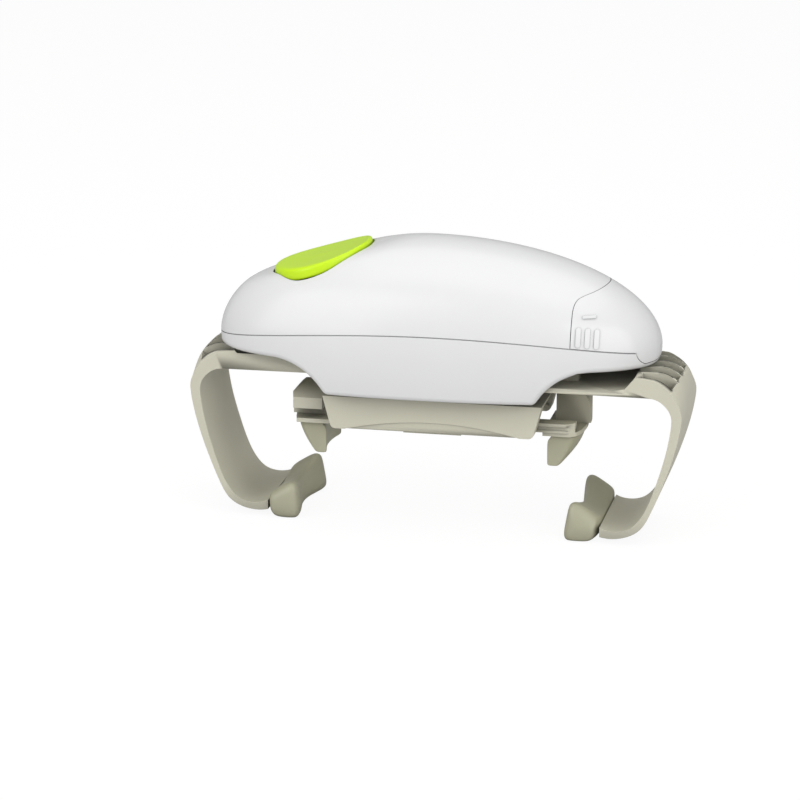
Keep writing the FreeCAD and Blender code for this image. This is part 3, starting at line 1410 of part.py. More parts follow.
nodes = {
    "lower_shell": lower_shell(),
    "upper_shell": upper_shell(),
    "turret_bush": turret_bush(),
    "gear_base": gear_base(),
    "gear_top": gear_top(),
    "gear_axles": gear_axles(),
    "motor_can": motor_can(),
    "motor_magnets": motor_magnets(),
    "motor_end_cap": motor_end_cap(),
    "battery_cradle": battery_cradle(),
    "batteries": Part.makeCompound([cell(-cell_pitch / 2, False), cell(cell_pitch / 2, True)]),
    "contact_plates": contact_plates(),
    "contact_spring": lying_spring(cell_x - contact_gap, -cell_pitch / 2, contact_gap),
    "switch_bracket": switch_bracket(),
    "circuit_board": circuit_board(),
    "microswitch": microswitch(),
    "shell_screws": Part.makeCompound(shell_screws),
    "base_screws": screw_set(base_screw_spots, base_high, base_screw_length, False),
    "motor_screws": screw_set(motor_screw_spots(), top_low, motor_screw_length),
    "bracket_screws": screw_set(bracket_screw_spots, bracket_z, bracket_screw_length),
    "button_cap": button_cap(),
    "button_spring": coil(V(switch_x, 0, board_top), spring_radius, spring_wire, spring_top() - board_top,
                          spring_turns),
    "battery_door": battery_door(),
    "door_contact": door_contact(),
    "door_spring": lying_spring(cell_x + cell_length + cell_nub + 0.3, cell_pitch / 2, contact_gap - 0.3),
    "outer_arm_right": right_arm,
    "outer_pad_right": right_pad,
    "outer_arm_left": half_turned(right_arm),
    "outer_pad_left": half_turned(right_pad),
    "outer_pinion": outer_pinion(),
    "slip_washer": slip_washer,
    "carriage_frame": carriage_frame(),
    "carriage_cover": carriage_cover(),
    "turret_retainer": turret_retainer(),
    "cover_screws": screw_set(cover_screw_spots, cover_screw_seat, cover_screw_length),
    "retainer_screws": screw_set(retainer_screw_spots(), retainer_top, retainer_screw_length, False),
    "drive_spindle": drive_spindle(),
    "inner_pinion": inner_pinion(),
    "clutch_disc": clutch_disc(),
    "clutch_spring": clutch_spring(),
    "spindle_clip": spindle_clip(),
    "inner_jaw_right": right_jaw,
    "jaw_pad_right": right_jaw_pad,
    "inner_jaw_left": half_turned(right_jaw),
    "jaw_pad_left": half_turned(right_jaw_pad),
    "main_gear": main_gear(),
    "gear_two": gear_two(),
    "gear_one": gear_one(),
    "motor_pinion": motor_pinion(),
    "motor_shaft": motor_shaft(),
    "motor_armature": motor_armature(),
}

for name, shape in nodes.items():
    shape.exportStep("parts/" + name + ".step")
    print(name, "solids", len(shape.Solids), "volume", round(shape.Volume, 1), "valid", shape.isValid())
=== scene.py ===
"""Looks of the electric jar opener: shells, button, arms, soft feet, lid jaws and the mechanism inside."""
import json
from math import atan2, cos, hypot, radians, sin, sqrt, tau

import bmesh
import bpy
from mathutils import Matrix, Vector
from mathutils.bvhtree import BVHTree


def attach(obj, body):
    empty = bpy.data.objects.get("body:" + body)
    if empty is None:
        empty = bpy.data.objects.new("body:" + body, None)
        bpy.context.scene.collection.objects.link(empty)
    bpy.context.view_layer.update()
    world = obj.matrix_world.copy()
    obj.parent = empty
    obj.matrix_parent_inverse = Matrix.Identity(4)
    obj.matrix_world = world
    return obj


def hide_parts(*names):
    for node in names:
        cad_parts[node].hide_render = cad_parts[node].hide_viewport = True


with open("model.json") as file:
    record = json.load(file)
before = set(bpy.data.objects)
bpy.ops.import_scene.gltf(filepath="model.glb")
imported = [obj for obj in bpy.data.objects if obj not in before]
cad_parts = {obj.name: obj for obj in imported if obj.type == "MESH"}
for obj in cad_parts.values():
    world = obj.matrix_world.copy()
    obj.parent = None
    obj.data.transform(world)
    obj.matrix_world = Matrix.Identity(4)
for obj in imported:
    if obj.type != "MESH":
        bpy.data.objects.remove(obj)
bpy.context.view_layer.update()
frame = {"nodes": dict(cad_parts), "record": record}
nodes = frame["nodes"]
slots = {part["node"]: part["material_slot"] for part in frame["record"]["subparts"]}
body_of = {node: body for body, members in frame["record"]["behaviour"]["bodies"].items() for node in members}

# Shapes are given in millimetres and made in metres.
mm = 0.001

# The opener is the same on both sides of its upright axis, half a turn apart.
sides = (("right", 1), ("left", -1))

# ---------------------------------------------------------------- view
# Angles in degrees, distance and target in metres, lens and sensor in millimetres.
view_azimuth = 11.7
view_elevation = 15.7
view_distance = 1.585
view_target = (-0.0189, 0.0, 0.050)
view_lens = 164.8
view_sensor = 36.0

# ---------------------------------------------------------------- light
# Each lamp has a name, a place and a width in metres, and a power in watts.
lamps = (("overhead", (0.1, 0.0, 1.3), 1.4, 6.85),
         ("key", (-0.9, -1.1, 0.75), 1.3, 10.2),
         ("fill", (1.15, -1.0, 0.45), 1.3, 11.5))
lamp_aim = (0.0, 0.0, 0.07)
ambient_strength = 0.33

# The floor takes the shadow with its own colour, and the camera sees a share of white glow over it.
floor_radius = 4.0
floor_corners = 96
floor_colour = (0.55, 0.55, 0.55)
floor_roughness = 0.9
glow_strength = 1.15
glow_share = 0.8

# ---------------------------------------------------------------- colours
white_colour = (0.84, 0.84, 0.845)
lime_colour = (0.66, 0.97, 0.022)
grey_colour = (0.675, 0.655, 0.53)
pad_colour = (0.50, 0.49, 0.352)
acetal_colour = (0.76, 0.75, 0.70)
acetal_shade = (0.70, 0.69, 0.63)
black_colour = (0.035, 0.036, 0.038)
black_shade = (0.05, 0.05, 0.052)
ferrite_colour = (0.05, 0.05, 0.055)
ferrite_shade = (0.08, 0.08, 0.085)
jacket_colour = (0.12, 0.13, 0.15)
jacket_shade = (0.16, 0.17, 0.19)
board_colour = (0.02, 0.16, 0.06)
board_shade = (0.03, 0.20, 0.08)
steel_colour = (0.62, 0.62, 0.63)
brass_colour = (0.78, 0.60, 0.28)
winding_colour = (0.72, 0.32, 0.14)

# ---------------------------------------------------------------- finishes
# Scales are in waves per metre.
tone_scale = 28.0
mark_scale = 160.0
# Between these values lies most of a noise.
noise_low = 0.3
noise_high = 0.7
# Painted shade: colour darkens towards this black in crevices and under nearby parts, by ambient occlusion.
painted_shade_samples = 8
painted_shade_colour = (0.0, 0.0, 0.0, 1.0)
metal_shade = 0.08
metal_grain_depth = 0.02
metal_grain_strength = 0.3


# ---------------------------------------------------------------- shader nodes
def feed(tree, value, socket):
    """Links a node's output to a socket, or sets the socket where the value is a number or a colour."""
    if isinstance(value, bpy.types.NodeSocket):
        tree.links.new(value, socket)
    else:
        socket.default_value = value


def add_noise(tree, place, scale, detail):
    """Noise on the given coordinates."""
    noise = tree.nodes.new("ShaderNodeTexNoise")
    feed(tree, detail, noise.inputs["Detail"])
    feed(tree, place, noise.inputs["Vector"])
    feed(tree, scale, noise.inputs["Scale"])
    return noise.outputs["Fac"]


def add_spread(tree, noise, low, high):
    """Spreads the middle of a noise's range between two values."""
    spread = tree.nodes.new("ShaderNodeMapRange")
    feed(tree, noise, spread.inputs["Value"])
    feed(tree, noise_low, spread.inputs["From Min"])
    feed(tree, noise_high, spread.inputs["From Max"])
    feed(tree, low, spread.inputs["To Min"])
    feed(tree, high, spread.inputs["To Max"])
    return spread.outputs["Result"]


def add_blend(tree, share, first, second):
    """Blend of two colours."""
    blend = tree.nodes.new("ShaderNodeMix")
    blend.data_type = "RGBA"
    feed(tree, share, blend.inputs["Factor"])
    feed(tree, first, blend.inputs["A"])
    feed(tree, second, blend.inputs["B"])
    return blend.outputs["Result"]


def add_maths(tree, operation, first, second):
    """One step of arithmetic on two values."""
    step = tree.nodes.new("ShaderNodeMath")
    step.operation = operation
    feed(tree, first, step.inputs[0])
    feed(tree, second, step.inputs[1])
    return step.outputs[0]


def new_group(name, inputs, outputs):
    """Empty shader node group with named inputs and outputs."""
    group = bpy.data.node_groups.new(name, "ShaderNodeTree")
    for label, kind, value in inputs:
        socket = group.interface.new_socket(label, in_out="INPUT", socket_type=kind)
        socket.default_value = value
    for label, kind in outputs:
        group.interface.new_socket(label, in_out="OUTPUT", socket_type=kind)
    return group, group.nodes.new("NodeGroupInput").outputs, group.nodes.new("NodeGroupOutput").inputs


def make_moulding_group():
    """Moulded surface: broad tone changes, handling marks in the gloss, fine grain, painted shade in
    crevices.
    """
    group, given, result = new_group(
        "moulding",
        [("Place", "NodeSocketVector", (0, 0, 0)), ("Colour", "NodeSocketColor", (1, 1, 1, 1)),
         ("Shade", "NodeSocketColor", (1, 1, 1, 1)), ("Smooth", "NodeSocketFloat", 0.3),
         ("Rough", "NodeSocketFloat", 0.4), ("Grain Scale", "NodeSocketFloat", 2000.0),
         ("Painted Shade Reach", "NodeSocketFloat", 0.002), ("Painted Shade Depth", "NodeSocketFloat", 0.5)],
        [("Colour", "NodeSocketColor"), ("Roughness", "NodeSocketFloat"), ("Grain", "NodeSocketFloat")])
    broad = add_noise(group, given["Place"], tone_scale, detail=3.0)
    tone = add_blend(group, add_spread(group, broad, 0.0, 1.0), given["Colour"], given["Shade"])
    # Painted shade: ambient occlusion blends the colour towards black in crevices and under nearby parts.
    openness = group.nodes.new("ShaderNodeAmbientOcclusion")
    openness.samples = painted_shade_samples
    feed(group, given["Painted Shade Reach"], openness.inputs["Distance"])
    closeness = add_maths(group, "SUBTRACT", 1.0, openness.outputs["AO"])
    shading = add_maths(group, "MULTIPLY", closeness, given["Painted Shade Depth"])
    feed(group, add_blend(group, shading, tone, painted_shade_colour), result["Colour"])
    marks = add_noise(group, given["Place"], mark_scale, detail=5.0)
    feed(group, add_spread(group, marks, given["Smooth"], given["Rough"]), result["Roughness"])
    feed(group, add_noise(group, given["Place"], given["Grain Scale"], detail=2.0), result["Grain"])
    return group


moulding = make_moulding_group()


# ---------------------------------------------------------------- materials
def darker(colour, share):
    """The colour, darkened by a share."""
    return tuple(channel * (1 - share) for channel in colour)


def moulded(name, colour, shade, roughness, grain_scale, grain_depth, grain_strength=0.5,
            painted_shade_reach=2.0, painted_shade_depth=0.5, specular=0.5, metallic=0.0, stretch=None):
    """Moulded plastic or rubber: two tones, two ends of roughness, grain and painted shade, with sizes in
    millimetres.
    """
    material = bpy.data.materials.new(name)
    material.use_nodes = True
    tree = material.node_tree
    place = tree.nodes.new("ShaderNodeTexCoord").outputs["Object"]
    if stretch:
        mapping = tree.nodes.new("ShaderNodeMapping")
        feed(tree, place, mapping.inputs["Vector"])
        feed(tree, stretch, mapping.inputs["Scale"])
        place = mapping.outputs["Vector"]
    finish = tree.nodes.new("ShaderNodeGroup")
    finish.node_tree = moulding
    feed(tree, place, finish.inputs["Place"])
    feed(tree, (*colour, 1), finish.inputs["Colour"])
    feed(tree, (*shade, 1), finish.inputs["Shade"])
    feed(tree, roughness[0], finish.inputs["Smooth"])
    feed(tree, roughness[1], finish.inputs["Rough"])
    feed(tree, grain_scale, finish.inputs["Grain Scale"])
    feed(tree, painted_shade_reach * mm, finish.inputs["Painted Shade Reach"])
    feed(tree, painted_shade_depth, finish.inputs["Painted Shade Depth"])
    bump = tree.nodes.new("ShaderNodeBump")
    feed(tree, grain_strength, bump.inputs["Strength"])
    feed(tree, grain_depth * mm, bump.inputs["Distance"])
    feed(tree, finish.outputs["Grain"], bump.inputs["Height"])
    shader = tree.nodes["Principled BSDF"]
    feed(tree, specular, shader.inputs["Specular IOR Level"])
    feed(tree, metallic, shader.inputs["Metallic"])
    feed(tree, finish.outputs["Colour"], shader.inputs["Base Color"])
    feed(tree, finish.outputs["Roughness"], shader.inputs["Roughness"])
    feed(tree, bump.outputs["Normal"], shader.inputs["Normal"])
    return material


def metal(name, colour, roughness, grain_scale=900.0, stretch=(1, 1, 1)):
    """Metal with fine marks, closer together along an axis where the stretch is large."""
    return moulded(name, colour, darker(colour, metal_shade), roughness, grain_scale, metal_grain_depth,
                   grain_strength=metal_grain_strength, metallic=1.0, stretch=stretch)


# Painted shade in crevices on each finish; on grey plastic and soft pads it reaches far, under the body.
materials = {
    "white_shell": moulded("gloss_white", white_colour, darker(white_colour, 0.015), roughness=(0.20, 0.27),
                           grain_scale=900.0, grain_depth=0.02, grain_strength=0.25,
                           painted_shade_reach=1.2, painted_shade_depth=0.8),
    "green_button": moulded("gloss_lime", lime_colour, darker(lime_colour, 0.02), roughness=(0.285, 0.3),
                            grain_scale=700.0, grain_depth=0.004, grain_strength=0.1,
                            painted_shade_reach=1.2, specular=0.3),
    "grey_plastic": moulded("satin_grey", grey_colour, darker(grey_colour, 0.05), roughness=(0.42, 0.52),
                            grain_scale=2600.0, grain_depth=0.06, painted_shade_reach=14.0, painted_shade_depth=0.8),
    "soft_pad": moulded("soft_olive", pad_colour, darker(pad_colour, 0.12), roughness=(0.32, 0.46),
                        grain_scale=1800.0, grain_depth=0.06, painted_shade_reach=8.0),
    "gear_plastic": moulded("natural_acetal", acetal_colour, acetal_shade, roughness=(0.3, 0.42),
                            grain_scale=1500.0, grain_depth=0.04),
    "inner_plastic": moulded("black_moulding", black_colour, black_shade, roughness=(0.4, 0.55),
                             grain_scale=2200.0, grain_depth=0.06),
    "magnet": moulded("dull_ferrite", ferrite_colour, ferrite_shade, roughness=(0.6, 0.75),
                      grain_scale=1600.0, grain_depth=0.1),
    "battery_jacket": moulded("battery_jacket", jacket_colour, jacket_shade, roughness=(0.25, 0.35),
                              grain_scale=800.0, grain_depth=0.02),
    "board": moulded("solder_mask", board_colour, board_shade, roughness=(0.3, 0.42),
                     grain_scale=1200.0, grain_depth=0.04),
    "steel": metal("bright_steel", steel_colour, roughness=(0.22, 0.36)),
    "brass": metal("turned_brass", brass_colour, roughness=(0.2, 0.32)),
    "copper": metal("enamelled_winding", winding_colour, roughness=(0.28, 0.4), grain_scale=500.0,
                    stretch=(1, 1, 6))}

for node, solid in nodes.items():
    solid.data.materials.clear()
    solid.data.materials.append(materials[slots[node]])


# ---------------------------------------------------------------- making of pieces
merge_distance = 0.01
level_angle = 0.5
slice_tolerance = 0.0001
strip_tolerance = 0.001
# How near to a level or a slanted face a vertex counts as on it.
on_level = 0.02
on_slant = 0.05
soft_levels = 3
# Angles in degrees over which an edge stays sharp in the shading: none on soft forms.
soft_sharpness = 180
stiff_sharpness = 50


def on_side(place, sign):
    """A place of the right side on the side of the sign, and back again."""
    return Vector((sign * place[0], sign * place[1], place[2]))


def place_piece(name, form, node, sharpness):
    """Turns a finished form into a piece that stands for a CAD node and takes its finish."""
    mesh = bpy.data.meshes.new(name)
    form.to_mesh(mesh)
    form.free()
    mesh.shade_smooth()
    mesh.set_sharp_from_angle(angle=radians(sharpness))
    mesh.materials.append(materials[slots[node]])
    piece = bpy.data.objects.new(name, mesh)
    bpy.context.scene.collection.objects.link(piece)
    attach(piece, body_of[node])
    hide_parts(node)
    return piece


def place_soft_piece(name, form, node):
    """Places a form whose faces are rounded by subdivision, alike in view and render."""
    rounding = place_piece(name, form, node, soft_sharpness).modifiers.new("rounding", "SUBSURF")
    rounding.levels = soft_levels
    rounding.render_levels = soft_levels


def place_stiff_piece(name, form, node):
    """Places a form whose broad faces stay level beside their rounded edges."""
    shading = place_piece(name, form, node, stiff_sharpness).modifiers.new("level_faces", "WEIGHTED_NORMAL")
    shading.keep_sharp = True


def merged_copy(node):
    """Form of a CAD node with its loose triangles merged and its level faces made whole."""
    form = bmesh.new()
    form.from_mesh(nodes[node].data)
    bmesh.ops.remove_doubles(form, verts=form.verts, dist=merge_distance * mm)
    bmesh.ops.dissolve_limit(form, angle_limit=radians(level_angle), verts=form.verts, edges=form.edges)
    return form


def round_edges(form, width, segments, chosen, sign=1, least_angle=35):
    """Rounds outward edges sharper than an angle, where both ends are chosen as places of the right side."""
    sharp = [edge for edge in form.edges if len(edge.link_faces) == 2
             and edge.calc_face_angle_signed() > radians(least_angle)
             and all(chosen(on_side(vertex.co / mm, sign)) for vertex in edge.verts)]
    bmesh.ops.bevel(form, geom=sharp, offset=width * mm, offset_type="OFFSET", segments=segments, profile=0.5,
                    affect="EDGES", clamp_overlap=True, material=-1)


def slice_corner(form, place, outward):
    """Cuts away all that lies outward of a place and closes the cut."""
    bmesh.ops.bisect_plane(form, geom=form.verts[:] + form.edges[:] + form.faces[:],
                           dist=slice_tolerance * mm, plane_co=place * mm, plane_no=outward, clear_outer=True)
    rim = [edge for edge in form.edges if edge.is_boundary]
    bmesh.ops.holes_fill(form, edges=rim, sides=0)


def new_vertices(made):
    """The vertices among what an operator has made."""
    return [item for item in made["geom"] if isinstance(item, bmesh.types.BMVert)]


def extruded_ring(form, ring, row):
    """Extrudes a closed ring of vertices and moves it to the next row of places."""
    edges = [form.edges.get(pair) for pair in zip(ring, ring[1:] + ring[:1])]
    fresh = new_vertices(bmesh.ops.extrude_edge_only(form, edges=edges))
    ring = [min(fresh, key=lambda vertex: (vertex.co - old.co).length) for old in ring]
    for vertex, place in zip(ring, row):
        vertex.co = Vector(place) * mm
    return ring


def form_through(rows):
    """Closed form drawn through rows of places, one row for each cross-section."""
    form = bmesh.new()
    ring = [form.verts.new(Vector(place) * mm) for place in rows[0]]
    for pair in zip(ring, ring[1:] + ring[:1]):
        form.edges.new(pair)
    ends = [ring]
    for row in rows[1:]:
        ring = extruded_ring(form, ring, row)
    ends.append(ring)
    for end in ends:
        form.faces.new(end)
    bmesh.ops.recalc_face_normals(form, faces=form.faces)
    return form


def make_soft_pair(name, node, rows):
    """Two soft pieces with the same cross-sections, one on each side."""
    for side, sign in sides:
        form = form_through(rows)
        if sign < 0:
            bmesh.ops.rotate(form, cent=(0, 0, 0), matrix=Matrix.Rotation(tau / 2, 3, "Z"), verts=form.verts)
        place_soft_piece(name + side, form, node + side)


# ---------------------------------------------------------------- button
button_x = -54.0
button_tail = 19.3
button_nose = 22.8
button_half_width = 22.5
button_steps = 40
# Rings inside the flat top, as shares of its outline, and rows round it: inset and drop.
button_shares = [0.35, 0.7]
button_rows = [(8.5, 0.0), (5.0, 0.0), (2.6, 0.0), (1.5, 0.08), (0.85, 0.3), (0.4, 0.7), (0.08, 1.3),
               (0.0, 2.4), (0.0, 5.4)]
# The top follows the plain cap's, read at a share of its width, raised a little and dipped along its length.
button_flatness = 0.57
button_lift = 0.25
button_dip = 1.9
# Least inset at which the cap's top is read, and a height that is clear of it.
cap_margin = 0.6
above_cap = 200
# Rows that are levelled across the top, and how often.
levelled_rows = 3
levelling_passes = 6
skirt_share = 0.9
# On the construction line the rows follow the shares from here on, 1 apart.
row_start = 2.0


def button_place(turn, inset):
    """Place on the button's egg-shaped outline, brought in by an inset."""
    reach = button_nose if cos(turn) > 0 else button_tail
    normal = Vector((cos(turn) * button_half_width, sin(turn) * reach)).normalized()
    return Vector((reach * cos(turn), button_half_width * sin(turn))) - normal * inset


def button_level(cap, place):
    """Height of the button's top at a place, in metres."""
    above = Vector((button_x + place.x, place.y * button_flatness, above_cap)) * mm
    reach = button_nose if place.x > 0 else button_tail
    dip = button_dip * max(1 - (place.x / reach) ** 2, 0.0)
    return cap.ray_cast(above, Vector((0, 0, -1)))[0].z + (button_lift - dip) * mm


def make_button():
    """Domed button with a rounded rim, spun from its construction line and fitted to its outline and top."""
    source = nodes["button_cap"].data
    cap = BVHTree.FromPolygons([vertex.co for vertex in source.vertices],
                               [face.vertices for face in source.polygons])
    form = bmesh.new()
    radii = [0.0] + button_shares + [row_start + row for row in range(len(button_rows))]
    line = [form.verts.new((radius, 0, 0)) for radius in radii]
    line += [form.edges.new(pair) for pair in zip(line, line[1:])]
    bmesh.ops.spin(form, geom=line, cent=(0, 0, 0), axis=(0, 0, 1), dvec=(0, 0, 0), angle=tau,
                   steps=button_steps, use_merge=True, use_normal_flip=False, use_duplicate=False)
    bmesh.ops.remove_doubles(form, verts=form.verts, dist=merge_distance)
    levelled = []
    for vertex in form.verts:
        radius = vertex.co.to_2d().length
        turn = atan2(vertex.co.y, vertex.co.x)
        row = round(radius - row_start)
        if row < 0:
            place = button_place(turn, button_rows[0][0]) * radius
            level = button_level(cap, place)
        else:
            inset, drop = button_rows[row]
            place = button_place(turn, inset)
            level = button_level(cap, button_place(turn, max(inset, cap_margin))) - drop * mm
        if row < levelled_rows:
            levelled.append(vertex)
        vertex.co = Vector(((button_x + place.x) * mm, place.y * mm, level))
    for _ in range(levelling_passes):
        bmesh.ops.smooth_vert(form, verts=levelled, factor=0.5, use_axis_z=True)
    lower_edge = [edge for edge in form.edges if edge.is_boundary]
    centre = Vector((button_x * mm, 0, 0))
    for vertex in new_vertices(bmesh.ops.extrude_edge_only(form, edges=lower_edge)):
        away = vertex.co - centre
        vertex.co = centre + Vector((away.x * skirt_share, away.y * skirt_share, away.z))
    bmesh.ops.recalc_face_normals(form, faces=form.faces)
    place_soft_piece("button_top", form, "button_cap")


# ---------------------------------------------------------------- soft feet of the outer arms
# Each cross-section: Y, the X of its toe, its tip and its joint to the arm, and the height of its top and
# of its sole.
foot_rows = [(-29.5, 61.5, 63.0, 69.3, 6.6, 1.4), (-29.2, 59.6, 61.4, 70.6, 9.8, 0.5),
             (-28.0, 57.9, 59.9, 71.6, 13.8, 0.1), (-26.0, 57.4, 59.3, 72.4, 16.5, 0.0),
             (-23.5, 57.5, 59.4, 73.0, 16.5, 0.0), (-20.0, 58.3, 60.2, 73.1, 15.2, 0.0),
             (-15.5, 59.9, 61.5, 73.1, 13.9, 0.0), (-10.5, 61.4, 62.5, 73.1, 12.8, 0.0),
             (-4.5, 62.1, 62.8, 73.1, 12.2, 0.0), (2.0, 61.8, 62.6, 73.1, 12.8, 0.0),
             (8.0, 60.7, 61.8, 73.1, 14.2, 0.0), (13.0, 59.7, 60.6, 73.1, 15.4, 0.0),
             (17.5, 59.3, 60.1, 73.1, 16.2, 0.0), (20.3, 59.4, 60.3, 72.4, 15.8, 0.0),
             (21.7, 60.3, 61.4, 71.6, 13.6, 0.6), (22.3, 62.0, 63.2, 70.2, 10.4, 2.0)]
# Outline as shares of the width and the height: from the joint over the top to the tip, which leans out from
# the toe, and then from the toe along the sole to the rounded heel.
foot_top = [(0, 0.26), (0, 0.44), (0, 0.58), (0.1, 0.68), (0.45, 0.86), (0.75, 1), (0.93, 0.97), (1, 0.85)]
foot_toe = [(0, 0.17), (0.05, 0.02), (0.24, 0)]
foot_heel = [(0.32, 0), (0.1, 0.08)]


def foot_outline(y, toe, tip, joint, top, sole):
    """Cross-section of a soft foot: sloped top, blunt tip that leans out, flat sole and rounded heel."""
    wide = joint - tip
    high = top - sole
    outline = [(joint - wide * along, y, sole + high * up) for along, up in foot_top]
    outline += [((tip + toe) / 2, y, sole + high / 2)]
    outline += [(toe + wide * along, y, sole + high * up) for along, up in foot_toe]
    return outline + [(joint - wide * along, y, sole + high * up) for along, up in foot_heel]


# ---------------------------------------------------------------- soft pads of the lid jaws
lid_pad_top = 42.58
lid_pad_low = 28.6
lid_pad_face = 50.2
lid_pad_back = 62.1
lid_pad_foot = 54.3
lid_pad_taper = 0.07
# Half of the cross-sections, from one end to the middle: Y, inset of the back and inset all round.
lid_pad_half = [(-15.0, 3.0, 0.9), (-14.9, 2.2, 0.3), (-14.2, 1.2, 0.05), (-12.6, 0.4, 0.0), (-9.0, 0.0, 0.0),
                (-4.5, 0.0, 0.0)]
lid_pad_rows = lid_pad_half + [(0.0, 0.0, 0.0)] + [(-y, *insets) for y, *insets in reversed(lid_pad_half)]


def lid_pad_outline(y, back_inset, inset):
    """Cross-section of a lid pad: hollow face towards the lid, round back that sweeps in to its foot."""
    face = sqrt(lid_pad_face ** 2 - y ** 2) + inset
    back = sqrt(lid_pad_back ** 2 - y ** 2) - back_inset
    foot = lid_pad_foot - abs(y) * lid_pad_taper - inset
    top = lid_pad_top
    low = lid_pad_low + inset * 0.8
    sweep = back - foot
    return [(face + 1.7, y, top), (face + 1.7, y, top - 0.8), (face + 0.3, y, top - 2.4),
            (face, y, top - 3.8), (face, y, low + 6.0), (face, y, low + 1.5), (face + 0.15, y, low + 0.3),
            (face + 1.1, y, low), (foot - 0.9, y, low), (foot, y, low + 0.35),
            (foot + sweep * 0.2, y, low + 1.9), (foot + sweep * 0.62, y, low + 6.0),
            (back - 1.1, y, top - 4.6), (back, y, top - 1.4), (back, y, top)]


# ---------------------------------------------------------------- outer arms
arm_reach = 107.5
arm_rounding = 1.0
band_flanks = (-29.7, 19.3)
band_start = 73.6
# The shoulder bends round an axis along Y at this X and Z. It is cut into strips, from its start and low
# limit on, so that it can be crowned across its width.
shoulder_x = 91
shoulder_z = 57
shoulder_start = 86
shoulder_low = 40
shoulder_strips = (-27.5, -23, -17, -11, -5, 1, 7, 12.5, 16.8)
# The crown rises in the middle of the width and falls away to the flanks, more on the outside of the bend.
crown_middle = -5.2
crown_half_width = 24.5
crown_rise = 0.8
crown_fall = 3.3
crown_power = 3.2
crown_bend_power = 1.5
crown_inner_share = 0.3
crown_inner_radius = 10.5
crown_wall = 6


def on_band_flank(place):
    """Outline of the band on its two flat sides, from the shoulder down to the foot."""
    return min(abs(place.y - flank) for flank in band_flanks) < on_level and place.x > band_start


def crowned_shoulder(place):
    """Where a place of the right arm goes when its shoulder is crowned, never past the arm's reach."""
    x, y, z = place
    radius = hypot(x - shoulder_x, z - shoulder_z)
    turn = atan2(z - shoulder_z, x - shoulder_x)
    in_bend = x > shoulder_x and z > shoulder_z
    bend = max(sin(2 * turn), 0.0) ** crown_bend_power if in_bend else 0.0
    outside = min(max((radius - crown_inner_radius) / crown_wall, 0.0), 1.0)
    depth = crown_inner_share + (1 - crown_inner_share) * outside
    across = abs((y - crown_middle) / crown_half_width)
    move = bend * depth * (crown_rise - crown_fall * across ** crown_power)
    return Vector((min(x + move * cos(turn), max(x, arm_reach)), y, z + move * sin(turn)))


def cut_shoulder(form, sign, strip):
    """Cuts the shoulder's faces across at one place along Y."""
    shoulder = [face for face in form.faces
                if all(sign * vertex.co.x > shoulder_start * mm and vertex.co.z > shoulder_low * mm
                       for vertex in face.verts)]
    edges = list(dict.fromkeys(edge for face in shoulder for edge in face.edges))
    verts = list(dict.fromkeys(vertex for face in shoulder for vertex in face.verts))
    bmesh.ops.bisect_plane(form, geom=verts + edges + shoulder, dist=strip_tolerance * mm,
                           plane_co=(0, sign * strip * mm, 0), plane_no=(0, 1, 0))


def make_arms():
    """Outer arms with rounded outlines and crowned shoulders."""
    for side, sign in sides:
        form = merged_copy("outer_arm_" + side)
        round_edges(form, arm_rounding, segments=4, chosen=on_band_flank, sign=sign)
        for strip in shoulder_strips:
            cut_shoulder(form, sign, strip)
        for vertex in form.verts:
            vertex.co = on_side(crowned_shoulder(on_side(vertex.co / mm, sign)), sign) * mm
        place_stiff_piece("arm_" + side, form, "outer_arm_" + side)


# ---------------------------------------------------------------- carriage
carriage_rounding = 0.6
carriage_low = 43
carriage_high = 57.6
# Its ends stand at this X at the height of their foot, and lean outwards above it.
carriage_end = 43.7
carriage_foot = 43.3
carriage_lean = 3.8 / 14.2


def on_carriage_end(place):
    """Corners and rim of the two slanted end faces."""
    end = carriage_end + (place.z - carriage_foot) * carriage_lean
    return abs(abs(place.x) - end) < on_slant and carriage_low < place.z < carriage_high


def make_carriage():
    """Carriage with softened ends."""
    form = merged_copy("carriage_frame")
    round_edges(form, carriage_rounding, segments=3, chosen=on_carriage_end, least_angle=30)
    place_stiff_piece("carriage", form, "carriage_frame")


# ---------------------------------------------------------------- lid jaws
tower_low = 48.5
tower_side_low = 50.5
tower_start = 49.5
tower_top = 58.2
tower_rounding = 1.2
# The tower's outer top corner is a curve through these places: inset from its side and drop from its top.
tower_corner = [(0, 6.7), (0.35, 5.2), (0.9, 3.8), (1.55, 2.8), (2.3, 1.85), (3.2, 0.95), (4.4, 0)]
bar_top = 48.4
bar_start = 48
bar_side = -13
bar_rounding = 0.4
# The bar's outer corner is rounded by flat slices: angle in degrees and depth from the corner.
bar_corner = Vector((60.3, -18.2, 0))
bar_slices = ((20, 0.55), (36, 1.6), (52, 2.2), (68, 1.5))


def on_tower(place):
    """Tower above the rack bar."""
    return place.z > tower_low and place.x > tower_start


def on_bar_top(place):
    """Rim of the rack bar's upper side at its outer end."""
    return abs(place.z - bar_top) < on_level and place.x > bar_start and place.y < bar_side


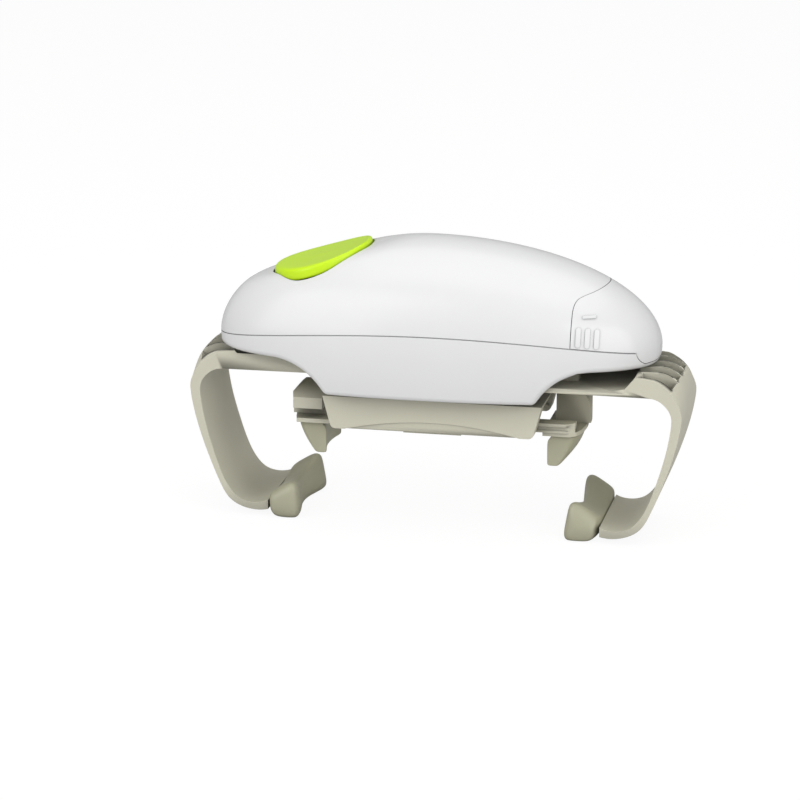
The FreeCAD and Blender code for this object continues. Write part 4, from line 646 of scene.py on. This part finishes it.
def make_jaws():
    """Lid jaws with softened towers, flanges and bar ends."""
    for side, sign in sides:
        form = merged_copy("inner_jaw_" + side)
        outer = max(sign * vertex.co.x for vertex in form.verts if vertex.co.z > tower_side_low * mm) / mm
        for (inset, drop), (next_inset, next_drop) in zip(tower_corner, tower_corner[1:]):
            place = Vector((outer - inset, 0, tower_top - drop))
            outward = Vector((drop - next_drop, 0, next_inset - inset)).normalized()
            slice_corner(form, on_side(place, sign), on_side(outward, sign))
        round_edges(form, tower_rounding, segments=4, chosen=on_tower, sign=sign)
        round_edges(form, bar_rounding, segments=2, chosen=on_bar_top, sign=sign)
        for angle, depth in bar_slices:
            outward = Vector((cos(radians(angle)), -sin(radians(angle)), 0))
            slice_corner(form, on_side(bar_corner - outward * depth, sign), on_side(outward, sign))
        place_stiff_piece("lid_jaw_" + side, form, "inner_jaw_" + side)


make_button()
make_soft_pair("soft_foot_", "outer_pad_", [foot_outline(*row) for row in foot_rows])
make_soft_pair("lid_pad_", "jaw_pad_", [lid_pad_outline(*row) for row in lid_pad_rows])
make_arms()
make_carriage()
make_jaws()


# ---------------------------------------------------------------- floor, backdrop, lamps and camera
def make_floor():
    """Wide pale floor: its own soft shadow, and a level white where the camera sees it."""
    bpy.ops.mesh.primitive_circle_add(vertices=floor_corners, radius=floor_radius, fill_type="NGON",
                                      location=(0, 0, 0))
    floor = bpy.context.object
    floor.name = "floor"
    material = bpy.data.materials.new("pale_floor")
    material.use_nodes = True
    tree = material.node_tree
    shader = tree.nodes["Principled BSDF"]
    feed(tree, (*floor_colour, 1), shader.inputs["Base Color"])
    feed(tree, floor_roughness, shader.inputs["Roughness"])
    feed(tree, 0.0, shader.inputs["Specular IOR Level"])
    glow = tree.nodes.new("ShaderNodeEmission")
    feed(tree, glow_strength, glow.inputs["Strength"])
    path = tree.nodes.new("ShaderNodeLightPath").outputs
    mix = tree.nodes.new("ShaderNodeMixShader")
    feed(tree, add_maths(tree, "MULTIPLY", path["Is Camera Ray"], glow_share), mix.inputs[0])
    feed(tree, shader.outputs[0], mix.inputs[1])
    feed(tree, glow.outputs[0], mix.inputs[2])
    feed(tree, mix.outputs[0], tree.nodes["Material Output"].inputs[0])
    floor.data.materials.append(material)


def make_world():
    """Light grey for the camera and through clear parts, and a calmer ambient light on the object."""
    world = bpy.data.worlds.new("studio")
    bpy.context.scene.world = world
    world.use_nodes = True
    tree = world.node_tree
    ambient = tree.nodes["Background"]
    feed(tree, (1, 1, 1, 1), ambient.inputs["Color"])
    feed(tree, ambient_strength, ambient.inputs["Strength"])
    pale = tree.nodes.new("ShaderNodeBackground")
    path = tree.nodes.new("ShaderNodeLightPath").outputs
    mix = tree.nodes.new("ShaderNodeMixShader")
    feed(tree, add_maths(tree, "MAXIMUM", path["Is Camera Ray"], path["Is Transmission Ray"]), mix.inputs[0])
    feed(tree, ambient.outputs[0], mix.inputs[1])
    feed(tree, pale.outputs[0], mix.inputs[2])
    feed(tree, mix.outputs[0], tree.nodes["World Output"].inputs[0])


def make_lamp(name, place, width, power):
    """Square soft lamp that looks at the middle of the opener."""
    lamp = bpy.data.lights.new(name, "AREA")
    lamp.size = width
    lamp.energy = power
    stand = bpy.data.objects.new(name, lamp)
    bpy.context.scene.collection.objects.link(stand)
    stand.location = place
    aim = Vector(lamp_aim) - Vector(place)
    stand.rotation_euler = aim.to_track_quat("-Z", "Y").to_euler()


def make_camera():
    """Long lens from the front right, a little above the opener."""
    camera = bpy.data.objects.new("camera", bpy.data.cameras.new("camera"))
    bpy.context.scene.collection.objects.link(camera)
    azimuth = radians(view_azimuth)
    elevation = radians(view_elevation)
    back = Vector((sin(azimuth) * cos(elevation), -cos(azimuth) * cos(elevation), sin(elevation)))
    camera.location = Vector(view_target) + back * view_distance
    camera.rotation_euler = (-back).to_track_quat("-Z", "Y").to_euler()
    camera.data.lens = view_lens
    camera.data.sensor_width = view_sensor
    bpy.context.scene.camera = camera


make_floor()
make_world()
for lamp_values in lamps:
    make_lamp(*lamp_values)
make_camera()
bpy.context.scene.view_settings.view_transform = "Standard"
